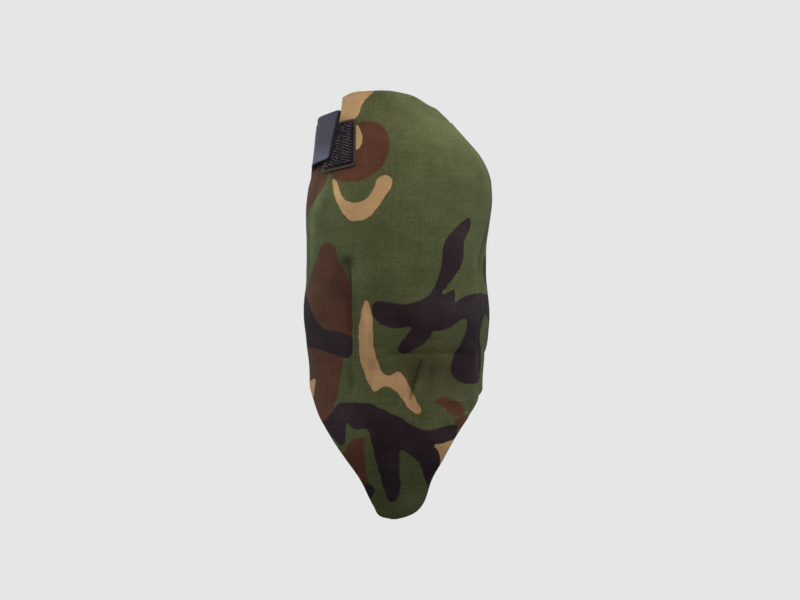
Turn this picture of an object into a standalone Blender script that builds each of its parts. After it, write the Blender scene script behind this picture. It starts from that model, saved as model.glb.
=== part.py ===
"""Camo face mask with neck bib: a neoprene half mask that wraps the lower
face, closes behind the ear with a hook-and-loop strap and ends in a pointed
bib.  Dimensions are in millimetres and are scaled to metres as each mesh is
made; +Z is up.  The nose points mostly to +X, so the wearer's right is the -Y
side and the left the +Y side.  The bib hangs on the -Y side.

The laminate is three plies (knitted cover, foam core, jersey lining), cut into
the stretches that move as one: face right, face left, wing right, wing left
and bib.  Every ply is a closed shell with a small gap to the next one.

A place on the mask is a plan angle and a height z.  Plan angles are in degrees
from -Y, growing towards +X.
"""
import math
from typing import NamedTuple

import bpy
import numpy as np

for old_object in list(bpy.data.objects):
    bpy.data.objects.remove(old_object, do_unlink=True)

MM = 0.001

# ------------------------------------------------------------ dimensions (mm)
COVER_T = 0.60          # camouflage knit
CORE_T = 2.00           # foam
LINING_T = 0.50         # jersey
PLY_GAP = 0.25          # between plies
LAMINATE_T = COVER_T + CORE_T + LINING_T + 2 * PLY_GAP

NOSE_DIR = 72.0         # plan angle of the centre-front seam
BACK_SLIT = NOSE_DIR - 180.0
WING_R_FOLD = -67.0     # plan angle of the right wing's fold line
WING_L_FOLD_X = -4.0    # the left wing's fold line crosses y > 0 at this x
BIB_FOLD_Z = 84.0       # height of the bib's fold line

FOLD_GAP = 2.0                      # half the clearance at the right fold line
FAR_FOLD_GAP = FOLD_GAP + 0.6       # half the clearance at the left fold line
BIB_GAP = 1.6                       # bib's upper edge below its fold line
SEAM_GAP = 0.30                     # half the clearance at a butted seam
WING_L_REAR_GAP = 1.3               # left wing to the right half's rear edge
WING_R_REAR_GAP = 0.2               # right wing to the same edge

# Centres the mask's box over the origin and stands it on z = 0.
SHIFT = np.array((1.387, -0.048, -5.6))

# Plan sections: height, rearmost x, foremost x, half depth on the -Y side,
# half depth on the +Y side, y of the centre.
SECTIONS = (
    (0.0, -70.0, 68.0, 13.0, 16.0, -20.0),
    (10.0, -70.0, 68.0, 14.5, 18.0, -21.5),
    (35.0, -71.0, 69.0, 24.0, 30.0, -22.0),
    (60.0, -72.0, 69.5, 40.0, 46.0, -14.5),
    (82.0, -72.5, 69.0, 52.5, 58.0, -4.0),
    (98.0, -71.4, 67.0, 56.0, 60.0, 0.0),
    (120.0, -71.6, 67.8, 54.6, 59.3, 0.0),
    (144.0, -74.0, 69.5, 55.0, 58.5, 0.0),
    (168.0, -76.2, 69.2, 57.8, 57.7, 0.0),
    (192.0, -73.9, 68.6, 59.9, 56.9, 0.0),
    (216.0, -73.6, 69.0, 60.0, 56.1, 0.0),
    (240.0, -74.2, 69.5, 60.0, 55.4, 0.0),
    (256.0, -73.4, 69.5, 59.5, 54.8, 0.0),
    (272.0, -71.0, 68.8, 58.5, 54.3, 0.0),
    (288.0, -67.5, 62.8, 56.5, 53.8, 0.0),
    (304.0, -63.8, 50.5, 53.8, 53.3, 0.0),
    (320.0, -61.0, 36.8, 50.5, 52.8, 0.0),
    (336.0, -58.5, 27.0, 47.5, 52.2, 0.0),
    (350.0, -56.5, 20.0, 45.5, 51.8, 0.0),
)
SECTION_POWER = 2.12    # slightly fuller than an ellipse, which has 2

# Nose form: one wide ridge over the centre-front seam.
RIDGE_H = 6.5
RIDGE_WIDTH = 17.0      # degrees
RIDGE_FOOT_Z = 204.0
RIDGE_FULL_Z = 258.0
RIDGE_HEAD_Z = 342.0
RIDGE_HEAD_SHARE = 0.25     # share of the ridge left at RIDGE_HEAD_Z

# Hollow along the seam below the nose form, with a swelling on each side.
HOLLOW_Z = 172.0
HOLLOW_REACH = 45.0     # up and down from HOLLOW_Z
HOLLOW_DEPTH = 3.6
HOLLOW_WIDTH = 8.0      # degrees
SWELL_H = 1.3
SWELL_OFFSET = 20.0     # degrees from the seam
SWELL_WIDTH = 12.0      # degrees

# Upper edge of the mask: plan angle, height.
TOP_EDGE = (
    (-70.0, 331.0), (-42.0, 333.0), (-25.0, 337.0), (10.0, 337.5), (30.0, 336.0),
    (44.0, 332.0), (60.0, 325.0), (72.0, 316.5), (84.0, 316.5), (100.0, 321.0),
    (115.0, 327.0), (135.0, 333.0), (160.0, 336.0), (180.0, 335.0), (200.0, 332.0),
    (215.0, 326.0), (235.0, 318.0), (260.0, 313.0), (300.0, 310.5),
)
# Lower edge: plan angle, height.  The level stretch is the bib's fold line.
LOW_EDGE = (
    (BACK_SLIT, 130.0), (-95.0, 119.0), (-80.0, 106.0), (-70.5, 98.0), (-61.5, 88.8),
    (-57.0, BIB_FOLD_Z), (50.0, BIB_FOLD_Z), (53.4, 87.4), (65.2, 95.3), (73.7, 102.6),
    (85.0, 107.5), (110.0, 109.0), (180.0, 113.0), (225.0, 124.0),
    (BACK_SLIT + 360.0, 130.0),
)
# Rear edge of the right half.  Upper part, with the tab that carries the hook
# tape: height, x.  Lower part, round the back: height, plan angle.
REAR_SPLIT_Z = 245.0
REAR_EDGE_X = (
    (REAR_SPLIT_Z, -70.5), (255.0, -65.5), (265.0, -62.5), (276.0, -61.5),
    (309.0, -59.5), (312.5, -53.0), (317.0, -46.0), (340.0, -43.5),
)
REAR_EDGE_ANGLE = (
    (120.0, BACK_SLIT), (190.0, BACK_SLIT), (210.0, -101.0), (230.0, -88.0),
    (REAR_SPLIT_Z, -75.0),
)
# Side edges of the bib: height, x of the -X edge, x of the +X edge.
BIB_EDGES = (
    (5.0, -5.0, -2.5), (7.0, -13.5, 5.0), (10.0, -17.0, 11.5), (14.0, -18.8, 16.0),
    (21.0, -22.4, 20.2), (37.3, -30.0, 25.4), (52.9, -40.8, 33.9), (68.3, -51.5, 42.4),
    (82.9, -60.8, 52.0), (98.0, -67.2, 61.0),
)


# ------------------------------------------------------------- interpolation
def clamp(value):
    return min(max(value, 0.0), 1.0)


def smoothstep(value):
    value = clamp(value)
    return value * value * (3 - 2 * value)


def blend(start, end, share):
    return start + (end - start) * share


def linear(table, key):
    """Second column of a table at a key of its first, by straight lines."""
    return float(np.interp(key, [row[0] for row in table], [row[1] for row in table]))


def smooth(table, key, column):
    """A column of a table at a key of its first, by cubic Hermite pieces."""
    keys = [row[0] for row in table]
    values = [row[column] for row in table]
    if key <= keys[0]:
        return values[0]
    if key >= keys[-1]:
        return values[-1]
    i = next(n for n in range(len(keys) - 1) if key <= keys[n + 1])
    step = keys[i + 1] - keys[i]
    start, end = values[i], values[i + 1]
    # Past either end of the table its end value carries on for one more step.
    key_before, before = (keys[i - 1], values[i - 1]) if i > 0 else (keys[0] - step, start)
    if i + 2 < len(keys):
        key_after, after = keys[i + 2], values[i + 2]
    else:
        key_after, after = keys[-1] + step, end
    start_slope = (end - before) / (keys[i + 1] - key_before)
    end_slope = (after - start) / (key_after - keys[i])
    t = (key - keys[i]) / step
    return ((2 * t ** 3 - 3 * t ** 2 + 1) * start
            + (t ** 3 - 2 * t ** 2 + t) * step * start_slope
            + (-2 * t ** 3 + 3 * t ** 2) * end
            + (t ** 3 - t ** 2) * step * end_slope)


# ------------------------------------------------------------- mask surface
def relief(angle, z):
    """How far the nose form and the seam hollow move the outer face outwards."""
    off_seam = (angle - NOSE_DIR + 180.0) % 360.0 - 180.0
    rise = smoothstep((z - RIDGE_FOOT_Z) / (RIDGE_FULL_Z - RIDGE_FOOT_Z))
    fall = clamp((RIDGE_HEAD_Z - z) / (RIDGE_HEAD_Z - RIDGE_FULL_Z))
    ridge = (RIDGE_H * rise * blend(RIDGE_HEAD_SHARE, 1.0, fall)
             * math.exp(-(off_seam / RIDGE_WIDTH) ** 2))
    reach = math.exp(-((z - HOLLOW_Z) / HOLLOW_REACH) ** 6)
    hollow = HOLLOW_DEPTH * math.exp(-(off_seam / HOLLOW_WIDTH) ** 2)
    swell = SWELL_H * math.exp(-((abs(off_seam) - SWELL_OFFSET) / SWELL_WIDTH) ** 2)
    return ridge + reach * (swell - hollow)


def outer_point(angle, z):
    """Point of the mask's outer face."""
    rear_x, front_x, near_depth, far_depth, centre_y = (
        smooth(SECTIONS, z, column) for column in range(1, 6))
    sine = math.sin(math.radians(angle))
    cosine = math.cos(math.radians(angle))
    half_depth = near_depth if cosine > 0 else far_depth
    power = 2.0 / SECTION_POWER
    x = (0.5 * (front_x + rear_x)
         + 0.5 * (front_x - rear_x) * math.copysign(abs(sine) ** power, sine))
    y = centre_y - half_depth * math.copysign(abs(cosine) ** power, cosine)
    out = relief(angle, z)
    return np.array([x + out * sine, y - out * cosine, z])


def normal(angle, z):
    """Outward unit normal of the outer face, by finite differences."""
    angle_step, z_step = 0.6, 2.0
    around = outer_point(angle + angle_step, z) - outer_point(angle - angle_step, z)
    upward = outer_point(angle, z + z_step) - outer_point(angle, z - z_step)
    cross = np.cross(around, upward)
    return cross / np.linalg.norm(cross)


def skin(angle, z, depth):
    """Point at a depth below the outer face (negative is outside)."""
    return outer_point(angle, z) - depth * normal(angle, z)


def angle_at_x(x, z, far=False):
    """Plan angle where the outer face crosses x, on the -Y or far (+Y) side."""
    low, high = (90.0, 270.0) if far else (-90.0, 90.0)
    for _ in range(40):
        middle = 0.5 * (low + high)
        if (outer_point(middle, z)[0] > x) == far:
            low = middle
        else:
            high = middle
    return 0.5 * (low + high)


def span(length, angle, z):
    """Plan angle that spans a length along the outer face."""
    return length / np.linalg.norm(outer_point(angle + 0.5, z) - outer_point(angle - 0.5, z))


def walk(angle, z, length):
    """Plan angle reached by going a length along the face, as angles grow."""
    steps = max(2, int(abs(length) / 2.0) + 1)
    for _ in range(steps):
        angle += span(length / steps, angle, z)
    return angle


# ----------------------------------------------------------------- materials
def make_material(name, colour, roughness):
    made = bpy.data.materials.new(name)
    made.use_nodes = True
    shader = made.node_tree.nodes["Principled BSDF"]
    shader.inputs["Base Color"].default_value = (*colour, 1.0)
    shader.inputs["Roughness"].default_value = roughness
    made.diffuse_color = (*colour, 1.0)
    return made


CAMO = make_material("camo_knit", colour=(0.10, 0.115, 0.045), roughness=0.85)
FOAM = make_material("neoprene_foam", colour=(0.02, 0.02, 0.02), roughness=0.9)
JERSEY = make_material("lining_jersey", colour=(0.025, 0.025, 0.027), roughness=0.92)
THREAD = make_material("seam_thread", colour=(0.03, 0.03, 0.03), roughness=0.7)
WEB = make_material("strap_webbing", colour=(0.065, 0.075, 0.10), roughness=0.6)
PILE = make_material("loop_pile", colour=(0.015, 0.015, 0.017), roughness=0.95)
HOOK = make_material("hook_tape", colour=(0.02, 0.014, 0.022), roughness=0.6)

# Plies from the outside in: part name, thickness, material.
PLIES = (("cover", COVER_T, CAMO), ("core", CORE_T, FOAM), ("lining", LINING_T, JERSEY))


# -------------------------------------------------------------------- joints
class Joint(NamedTuple):
    position: np.ndarray        # mm, before SHIFT
    empty: bpy.types.Object


def make_joint(name, position):
    empty = bpy.data.objects.new("axis_" + name, None)
    bpy.context.scene.collection.objects.link(empty)
    empty.location = tuple((position + SHIFT) * MM)
    return Joint(position, empty)


# ---------------------------------------------------------------- mesh tools
def shell(outer, inner):
    """Vertices and triangles of the closed body between two point grids."""
    rows, columns = len(outer), len(outer[0])
    vertices = np.array([point for grid in (outer, inner) for row in grid for point in row])
    offset = rows * columns     # from an outer vertex to its inner twin
    triangles = []
    for row in range(rows - 1):
        for column in range(columns - 1):
            here = row * columns + column
            beside = here + 1
            above = here + columns
            across = above + 1
            triangles += [(here, beside, across), (here, across, above)]
            triangles += [(here + offset, across + offset, beside + offset),
                          (here + offset, above + offset, across + offset)]
    rim = (list(range(columns))
           + [row * columns + columns - 1 for row in range(1, rows)]
           + [(rows - 1) * columns + column for column in range(columns - 2, -1, -1)]
           + [row * columns for row in range(rows - 2, 0, -1)])
    for start, end in zip(rim, rim[1:] + rim[:1]):
        triangles += [(start, end + offset, end), (start, start + offset, end + offset)]
    # Faces point out whichever way the grid runs.
    triangles = np.array(triangles)
    first, second, third = (vertices[triangles[:, i]] for i in range(3))
    if np.einsum("ij,ij->i", first, np.cross(second, third)).sum() < 0:
        triangles = triangles[:, [0, 2, 1]]
    return vertices, triangles


def make_piece(name, outer, inner, material, joint=None):
    """Object between two grids; a moving one hangs on its joint's empty."""
    vertices, triangles = shell(outer, inner)
    offset = -joint.position if joint else SHIFT
    mesh = bpy.data.meshes.new(name)
    mesh.from_pydata(((vertices + offset) * MM).tolist(), [], triangles.tolist())
    mesh.validate()
    mesh.update()
    piece = bpy.data.objects.new(name, mesh)
    bpy.context.scene.collection.objects.link(piece)
    piece.data.materials.append(material)
    if joint:
        piece.parent = joint.empty


def sheet(name, grid, outer_depth, inner_depth, material, joint=None):
    """Layer between two depths; the grid holds (plan angle, height, lift)."""
    outer, inner = (
        [[skin(angle, z, depth - lift) for angle, z, lift in row] for row in grid]
        for depth in (outer_depth, inner_depth))
    make_piece(name, outer, inner, material, joint)


def laminate(prefix, grid, joint=None):
    """The three plies over one grid."""
    depth = 0.0
    for part, thickness, material in PLIES:
        sheet(f"{prefix}_{part}", grid, depth, depth + thickness, material, joint)
        depth += thickness + PLY_GAP


def plate(name, place, bottom, top, columns, rows, material, joint=None):
    """Tape on the mask, from bottom to top above place(back, up).

    place turns two shares of the tape into (plan angle, height, lift).
    """
    grid = [[place(column / columns, row / rows) for column in range(columns + 1)]
            for row in range(rows + 1)]
    sheet(name, grid, -top, -bottom, material, joint)


def thread(name, path, width, thickness=0.4, joint=None):
    """Flat thread along a path of (plan angle, height, depth)."""
    points = [outer_point(angle, z) for angle, z, _ in path]
    outer, inner = [], []
    for i, (angle, z, depth) in enumerate(path):
        run = points[min(i + 1, len(points) - 1)] - points[max(i - 1, 0)]
        outward = normal(angle, z)
        half_width = np.cross(outward, run / np.linalg.norm(run)) * width / 2
        middle = points[i] - depth * outward
        outer.append([middle + half_width, middle - half_width])
        inner.append([point - thickness * outward for point in outer[-1]])
    make_piece(name, outer, inner, THREAD, joint)


def ring_path(place, inset, height):
    """Rectangular row of stitching on a tape, left open near its start."""
    stitches = 4        # per side
    low, high = inset, 1.0 - inset
    corners = [(low, low), (high, low), (high, high), (low, high), (low, low + 0.12)]
    shares = [(blend(back0, back1, i / stitches), blend(up0, up1, i / stitches))
              for (back0, up0), (back1, up1) in zip(corners[:-1], corners[1:])
              for i in range(stitches)]
    shares.append(corners[-1])
    places = [place(back, up) for back, up in shares]
    return [(angle, z, -(lift + height)) for angle, z, lift in places]


# -------------------------------------------------------------- strap layout
TAPE_H = 38.0           # hook-and-loop tape, 1.5 inch
STRAP_FREE = 40.0       # from the strap's fold to its free end
STRAP_FOLD_GAP = 1.6    # between the strap and its sewn end
STRAP_SEWN = 15.0       # strap end sewn to the left wing
STRAP_TILT = math.radians(13.0)     # the strap runs down towards the back
STRAP_ANGLE = -43.5     # plan angle of the middle of the free end
STRAP_Z = 303.4         # its height
PILE_T = 1.2
WEB_T = 1.1
TAPE_GAP = 0.3          # between a tape's two layers
STRAP_T = PILE_T + TAPE_GAP + WEB_T
STRAP_LIFT = 0.6        # strap above the wing
STRAP_OVER_TAPE = 3.1   # added where it lies over the hook tape
DESCENT_START = 12.0    # distance from the free end where it comes down
DESCENT_LENGTH = 24.0


def strap_place(distance, across):
    """(plan angle, height, lift) at a distance back from the strap's free end
    and a distance across it, upwards from its middle."""
    z = STRAP_Z - distance * math.sin(STRAP_TILT) + across * math.cos(STRAP_TILT)
    forward = -distance * math.cos(STRAP_TILT) + across * math.sin(STRAP_TILT)
    descent = smoothstep((distance - DESCENT_START) / DESCENT_LENGTH)
    return walk(STRAP_ANGLE, z, forward), z, STRAP_OVER_TAPE * (1 - descent) + STRAP_LIFT


def strap_stretch(start, end):
    """Place function of the strap between two distances from its free end."""
    return lambda back, up: strap_place(blend(start, end, back), (up - 0.5) * TAPE_H)


# ---------------------------------------------------------- joint positions
def strap_joint_position():
    angle, z, lift = strap_place(STRAP_FREE + STRAP_FOLD_GAP / 2, 0.0)
    return skin(angle, z, -(lift + STRAP_T + 0.9))


def fold_middle(fold_angle, low_z, high_z, height):
    """Middle of a wing's fold line, at a height above the outer face."""
    ends = [skin(fold_angle(z), z, -height) for z in (low_z, high_z)]
    return 0.5 * (ends[0] + ends[1])


def left_fold(z):
    return angle_at_x(WING_L_FOLD_X, z, far=True)


WING_LEFT = make_joint("wing_left", fold_middle(left_fold, 118.0, 330.0, height=1.2))
WING_RIGHT = make_joint(
    "wing_right", fold_middle(lambda z: WING_R_FOLD, 100.0, 240.0, height=1.4))
STRAP = make_joint("strap", strap_joint_position())
BIB = make_joint("bib", skin(0.0, BIB_FOLD_Z, -1.5))

# -------------------------------------------------------------------- panels
WING_R_TOP_Z = 240.0
WING_R_LEAN_Z = 222.0       # the right wing's front edge leaves the fold here
WING_R_TOP_WIDTH = 5.0      # degrees, at its upper edge
FACE_R_LEAN_Z = 226.0       # the right face's rear edge leaves the fold here
WING_L_REAR_TOP_Z = 309.0   # the left wing follows the rear edge up to here

# Shares of the height at which the rows of points lie.
FACE_RIGHT_ROWS = (0.0, 0.075, 0.16, 0.24, 0.32, 0.40, 0.48, 0.56, 0.64, 0.70, 0.765,
                   0.83, 0.895, 0.925, 1.0)
WING_LEFT_ROWS = (0.0, 0.09, 0.18, 0.27, 0.36, 0.44, 0.52, 0.60, 0.68, 0.76, 0.84,
                  0.92, 1.0)


def even_rows(count):
    return [i / count for i in range(count + 1)]


def top_edge(angle):
    return linear(TOP_EDGE, angle)


def low_edge(angle):
    return linear(LOW_EDGE, angle)


def rear_edge(z):
    """Plan angle of the right half's rear edge."""
    if z >= REAR_SPLIT_Z:
        return angle_at_x(linear(REAR_EDGE_X, z), z)
    return linear(REAR_EDGE_ANGLE, z)


def panel(prefix, start, end, columns, rows, top=top_edge, joint=None):
    """One stretch of laminate; start(z) and end(z) are its upright edges'
    plan angles, low_edge(angle) and top(angle) its other edges' heights."""
    def height(angle, share):
        return blend(low_edge(angle), top(angle), share)

    def edge_angle(edge, share):
        # An edge's angle and height depend on each other: settle by repetition.
        z = 200.0
        for _ in range(25):
            z = height(edge(z), share)
        return edge(z)

    grid = []
    for share in rows:
        first, last = edge_angle(start, share), edge_angle(end, share)
        angles = [first + (last - first) * i / columns for i in range(columns + 1)]
        grid.append([(angle, height(angle, share), 0.0) for angle in angles])
    laminate(prefix, grid, joint)


def face_right_rear(z):
    """The fold line, then the rear edge."""
    if z >= REAR_SPLIT_Z:
        return rear_edge(z)
    fold = WING_R_FOLD + span(FOLD_GAP, WING_R_FOLD, z)
    if z <= FACE_R_LEAN_Z:
        return fold
    share = (z - FACE_R_LEAN_Z) / (REAR_SPLIT_Z - FACE_R_LEAN_Z)
    return blend(fold, rear_edge(REAR_SPLIT_Z), share)


def face_right_front(z):
    return NOSE_DIR - span(SEAM_GAP, NOSE_DIR, z)


def face_left_front(z):
    return NOSE_DIR + span(SEAM_GAP, NOSE_DIR, z)


def face_left_rear(z):
    return left_fold(z) - span(FAR_FOLD_GAP, 180.0, z)


def wing_left_front(z):
    return left_fold(z) + span(FAR_FOLD_GAP, 180.0, z)


def wing_left_rear(z):
    """Just behind the right half's rear edge."""
    edge = rear_edge(min(z, WING_L_REAR_TOP_Z))
    return 360.0 + edge - span(WING_L_REAR_GAP, edge, z)


def wing_right_rear(z):
    edge = rear_edge(z)
    return edge + span(WING_R_REAR_GAP, edge, z)


def wing_right_front(z):
    fold = WING_R_FOLD - span(FOLD_GAP, WING_R_FOLD, z)
    share = clamp((z - WING_R_LEAN_Z) / (WING_R_TOP_Z - WING_R_LEAN_Z))
    return blend(fold, rear_edge(WING_R_TOP_Z) + WING_R_TOP_WIDTH, share)


panel("face_right", face_right_rear, face_right_front, 13, FACE_RIGHT_ROWS)
panel("face_left", face_left_front, face_left_rear, 10, even_rows(13))
panel("wing_left", wing_left_front, wing_left_rear, 10, WING_LEFT_ROWS, joint=WING_LEFT)
panel("wing_right", wing_right_rear, wing_right_front, 4, even_rows(8),
      top=lambda angle: WING_R_TOP_Z, joint=WING_RIGHT)

# ----------------------------------------------------------------------- bib
BIB_ROW_Z = (5.6, 8.5, 13.0, 21.0, 33.0, 46.0, 59.0, 71.0, BIB_FOLD_Z - BIB_GAP)
BIB_COLUMNS = 8


def bib_row(z):
    first, last = (angle_at_x(smooth(BIB_EDGES, z, column), z) for column in (1, 2))
    return [(first + (last - first) * i / BIB_COLUMNS, z, 0.0)
            for i in range(BIB_COLUMNS + 1)]


laminate("bib", [bib_row(z) for z in BIB_ROW_Z], BIB)

# ----------------------------------------------- hook tape on the right side
PAD_LEN = 31.0
PAD_H = 36.8
PAD_LOW_Z = 279.2       # lower front corner
PAD_FRONT_X = -33.2
PAD_SLOPE = 0.15        # drop per length towards the back
PAD_TAPER = 0.10        # share by which the upper edge is shorter
PAD_LIFT = 0.4
HOOK_BASE_T = 0.7
HOOK_FIELD_T = 1.2


def pad_place(back, up):
    """back runs from the front end to the rear end, up from bottom to top."""
    z = PAD_LOW_Z + up * PAD_H - back * PAD_LEN * PAD_SLOPE
    length = back * PAD_LEN * (1.0 - PAD_TAPER * up)
    return walk(angle_at_x(PAD_FRONT_X, z), z, -length), z, PAD_LIFT


def hook_field_place(back, up):
    """The hooks stop short of the tape's edges."""
    return pad_place(0.07 + 0.90 * back, 0.06 + 0.90 * up)


FIELD_BOTTOM = HOOK_BASE_T + TAPE_GAP
plate("hook_tape_base", pad_place, 0.0, HOOK_BASE_T, 5, 4, HOOK)
plate("hook_field", hook_field_place, FIELD_BOTTOM, FIELD_BOTTOM + HOOK_FIELD_T, 5, 4, HOOK)
thread("hook_tape_stitch", ring_path(pad_place, inset=0.022, height=1.25),
       width=0.45, thickness=0.35)

# --------------------------------------------------------------------- strap
PILE_INSET = 0.6        # pile stops short of the webbing's free end
SEWN_START = STRAP_FREE + STRAP_FOLD_GAP
sewn_place = strap_stretch(SEWN_START, SEWN_START + STRAP_SEWN)

plate("strap_loop_pile", strap_stretch(PILE_INSET, STRAP_FREE), 0.0, PILE_T,
      7, 4, PILE, STRAP)
plate("strap_webbing", strap_stretch(0.0, STRAP_FREE), PILE_T + TAPE_GAP, STRAP_T,
      7, 4, WEB, STRAP)
plate("strap_sewn_end", sewn_place, 0.0, STRAP_T, 3, 4, WEB, WING_LEFT)
thread("strap_sewn_end_stitch", ring_path(sewn_place, inset=0.12, height=STRAP_T + 0.75),
       width=0.5, thickness=0.35, joint=WING_LEFT)

# ------------------------------------------------- seams, sewn on the inside
SEAM_DEPTH = LAMINATE_T + 0.75
CENTRE_WIDTH = 2.4
DART_WIDTH = 1.6
CHIN_Z = 135.5
SIDE_DART_TOP_Z = 206.0


def mirrored(angle):
    """Plan angle on the other side of the centre-front seam."""
    return 2 * NOSE_DIR - angle


def seam(name, places, width):
    thread(name, [(angle, z, SEAM_DEPTH) for angle, z in places], width)


def side_dart_x(z):
    """The right side dart leans back towards its foot."""
    return -36.0 - 1.6 * (SIDE_DART_TOP_Z - z) / 110.0


chin_angles = [angle_at_x(x, CHIN_Z) for x in np.linspace(6.0, 61.0, 9)]

seam("centre_front_stitch", [(NOSE_DIR, z) for z in np.linspace(103.0, 312.0, 15)],
     CENTRE_WIDTH)
seam("chin_dart_stitch_right", [(angle, CHIN_Z) for angle in chin_angles], DART_WIDTH)
seam("chin_dart_stitch_left",
     [(mirrored(angle), CHIN_Z) for angle in reversed(chin_angles)], DART_WIDTH)
seam("side_dart_stitch_right",
     [(angle_at_x(side_dart_x(z), z), z) for z in np.linspace(99.0, SIDE_DART_TOP_Z, 8)],
     DART_WIDTH)
seam("side_dart_stitch_left",
     [(mirrored(angle_at_x(-34.0, z)), z) for z in np.linspace(117.0, SIDE_DART_TOP_Z, 7)],
     DART_WIDTH)
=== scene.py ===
"""Camouflage face mask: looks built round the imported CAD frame.

The mask stands upright: +Z is up, the viewer is at -Y, and the nose points
forward and to +X. Cloth is placed by plan angle (degrees, 0 at the front, -Y,
growing towards +X) and height z. Lengths are in mm until a mesh is made.
"""
import math

import bpy
import numpy as np
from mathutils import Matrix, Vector

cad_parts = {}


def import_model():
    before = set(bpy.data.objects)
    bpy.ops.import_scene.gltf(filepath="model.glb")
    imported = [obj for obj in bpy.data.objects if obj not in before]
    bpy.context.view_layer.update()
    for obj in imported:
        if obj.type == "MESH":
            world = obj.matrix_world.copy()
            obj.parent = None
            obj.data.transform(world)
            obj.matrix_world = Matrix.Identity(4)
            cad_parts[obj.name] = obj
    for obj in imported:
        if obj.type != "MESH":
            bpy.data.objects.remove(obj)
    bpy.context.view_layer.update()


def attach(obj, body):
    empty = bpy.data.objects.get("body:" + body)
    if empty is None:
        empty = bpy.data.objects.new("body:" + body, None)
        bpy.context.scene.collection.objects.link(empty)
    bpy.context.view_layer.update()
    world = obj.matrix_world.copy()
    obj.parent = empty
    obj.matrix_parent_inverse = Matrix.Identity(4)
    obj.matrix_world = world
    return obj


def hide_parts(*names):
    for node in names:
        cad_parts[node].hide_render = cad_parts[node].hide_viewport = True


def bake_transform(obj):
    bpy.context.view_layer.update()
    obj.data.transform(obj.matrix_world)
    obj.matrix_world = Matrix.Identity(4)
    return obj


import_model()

MM = 0.001
SHIFT = np.array([1.387, -0.048, -5.6])     # from the drawing's origin to the frame's
RNG = np.random.default_rng(7)
STEP = 1.6           # cell size of the cloth grids

# ------------------------------------------------------------- dimensions
NOSE = 72.0                                 # plan angle of the centre-front seam
COVER_T, CORE_T, LINING_T = 0.75, 2.2, 0.6
CLOTH_T = COVER_T + CORE_T + LINING_T
PLY_GAP = 0.02
MM_PER_DEGREE = 1.12                        # scale of the flat cloth coordinates
JOIN_Z, JOIN_A, JOIN_B = 97.5, -70.0, 68.0  # join of right half and bib: height and angles
BIB_FOLD_Z = 84.0

TAPE_H, PAD_LEN = 38.0, 31.0                # height of both tapes, length of the hook pad
STRAP_FREE, STRAP_SEWN = 40.0, 15.0
STRAP_TILT = math.radians(13.0)
STRAP_ANGLE, STRAP_Z = -43.5, 303.4         # middle of the strap's free end
PILE_T, WEB_T, WEB_GAP = 1.2, 1.1, 0.3
STRAP_T = PILE_T + WEB_GAP + WEB_T
SEWN_START = STRAP_FREE + 3.1
SEWN_END = STRAP_FREE + 1.6 + STRAP_SEWN
SEWN_LEN = SEWN_END - SEWN_START

EYE = 1300.0                                # viewer's distance from the plane y = 0
VIEW_X, VIEW_Z = 0.8, 176.0                 # view axis
VIEW_WIDTH = 640.0                          # width seen in the plane y = 0

# Plan sections: z, lowest x, highest x, front half depth, back half depth, centre y
SECTIONS = (
    (0.0, -70.0, 68.0, 13.0, 16.0, -20.0), (10.0, -70.0, 68.0, 14.5, 18.0, -21.5),
    (35.0, -71.0, 69.0, 24.0, 30.0, -22.0), (60.0, -72.0, 69.5, 40.0, 46.0, -14.5),
    (82.0, -72.5, 69.0, 52.5, 58.0, -4.0), (98.0, -71.4, 67.0, 56.0, 60.0, 0.0),
    (120.0, -71.6, 67.8, 54.6, 59.3, 0.0), (144.0, -74.0, 69.5, 55.0, 58.5, 0.0),
    (168.0, -76.2, 69.2, 57.8, 57.7, 0.0), (192.0, -73.9, 68.6, 59.9, 56.9, 0.0),
    (216.0, -73.6, 69.0, 60.0, 56.1, 0.0), (240.0, -74.2, 69.5, 60.0, 55.4, 0.0),
    (256.0, -73.4, 69.5, 59.5, 54.8, 0.0), (272.0, -71.0, 68.8, 58.5, 54.3, 0.0),
    (288.0, -67.5, 62.8, 56.5, 53.8, 0.0), (304.0, -63.8, 50.5, 53.8, 53.3, 0.0),
    (320.0, -61.0, 36.8, 50.5, 52.8, 0.0), (336.0, -58.5, 27.0, 47.5, 52.2, 0.0),
    (350.0, -56.5, 20.0, 45.5, 51.8, 0.0),
)
# Hems: plan angle, z
TOP_EDGE = ((-70.0, 331.0), (-42.0, 333.0), (-25.0, 337.0), (10.0, 337.5),
            (30.0, 336.0), (44.0, 332.0), (60.0, 325.0), (72.0, 316.5),
            (84.0, 316.5), (100.0, 321.0), (115.0, 327.0), (135.0, 333.0),
            (160.0, 336.0), (180.0, 335.0), (200.0, 332.0), (215.0, 326.0),
            (235.0, 318.0), (260.0, 313.0), (300.0, 310.5))
LOW_EDGE = ((-108.0, 130.0), (-95.0, 119.0), (-80.0, 106.0), (-70.5, 98.0),
            (-61.5, 88.8), (-57.0, BIB_FOLD_Z), (50.0, BIB_FOLD_Z), (53.4, 87.4),
            (65.2, 96.2), (73.7, 101.7), (85.0, 107.5), (110.0, 109.0),
            (180.0, 113.0), (225.0, 124.0), (252.0, 130.0))
# Rear edge of the right half: z, x above, and z, plan angle below
REAR_EDGE_X = ((245.0, -70.5), (255.0, -65.5), (265.0, -62.5), (276.0, -61.5),
               (309.0, -59.5), (312.5, -53.0), (317.0, -46.0), (340.0, -43.5))
REAR_EDGE_A = ((120.0, -108.0), (190.0, -108.0), (210.0, -101.0),
               (230.0, -88.0), (245.0, -75.0))
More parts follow.
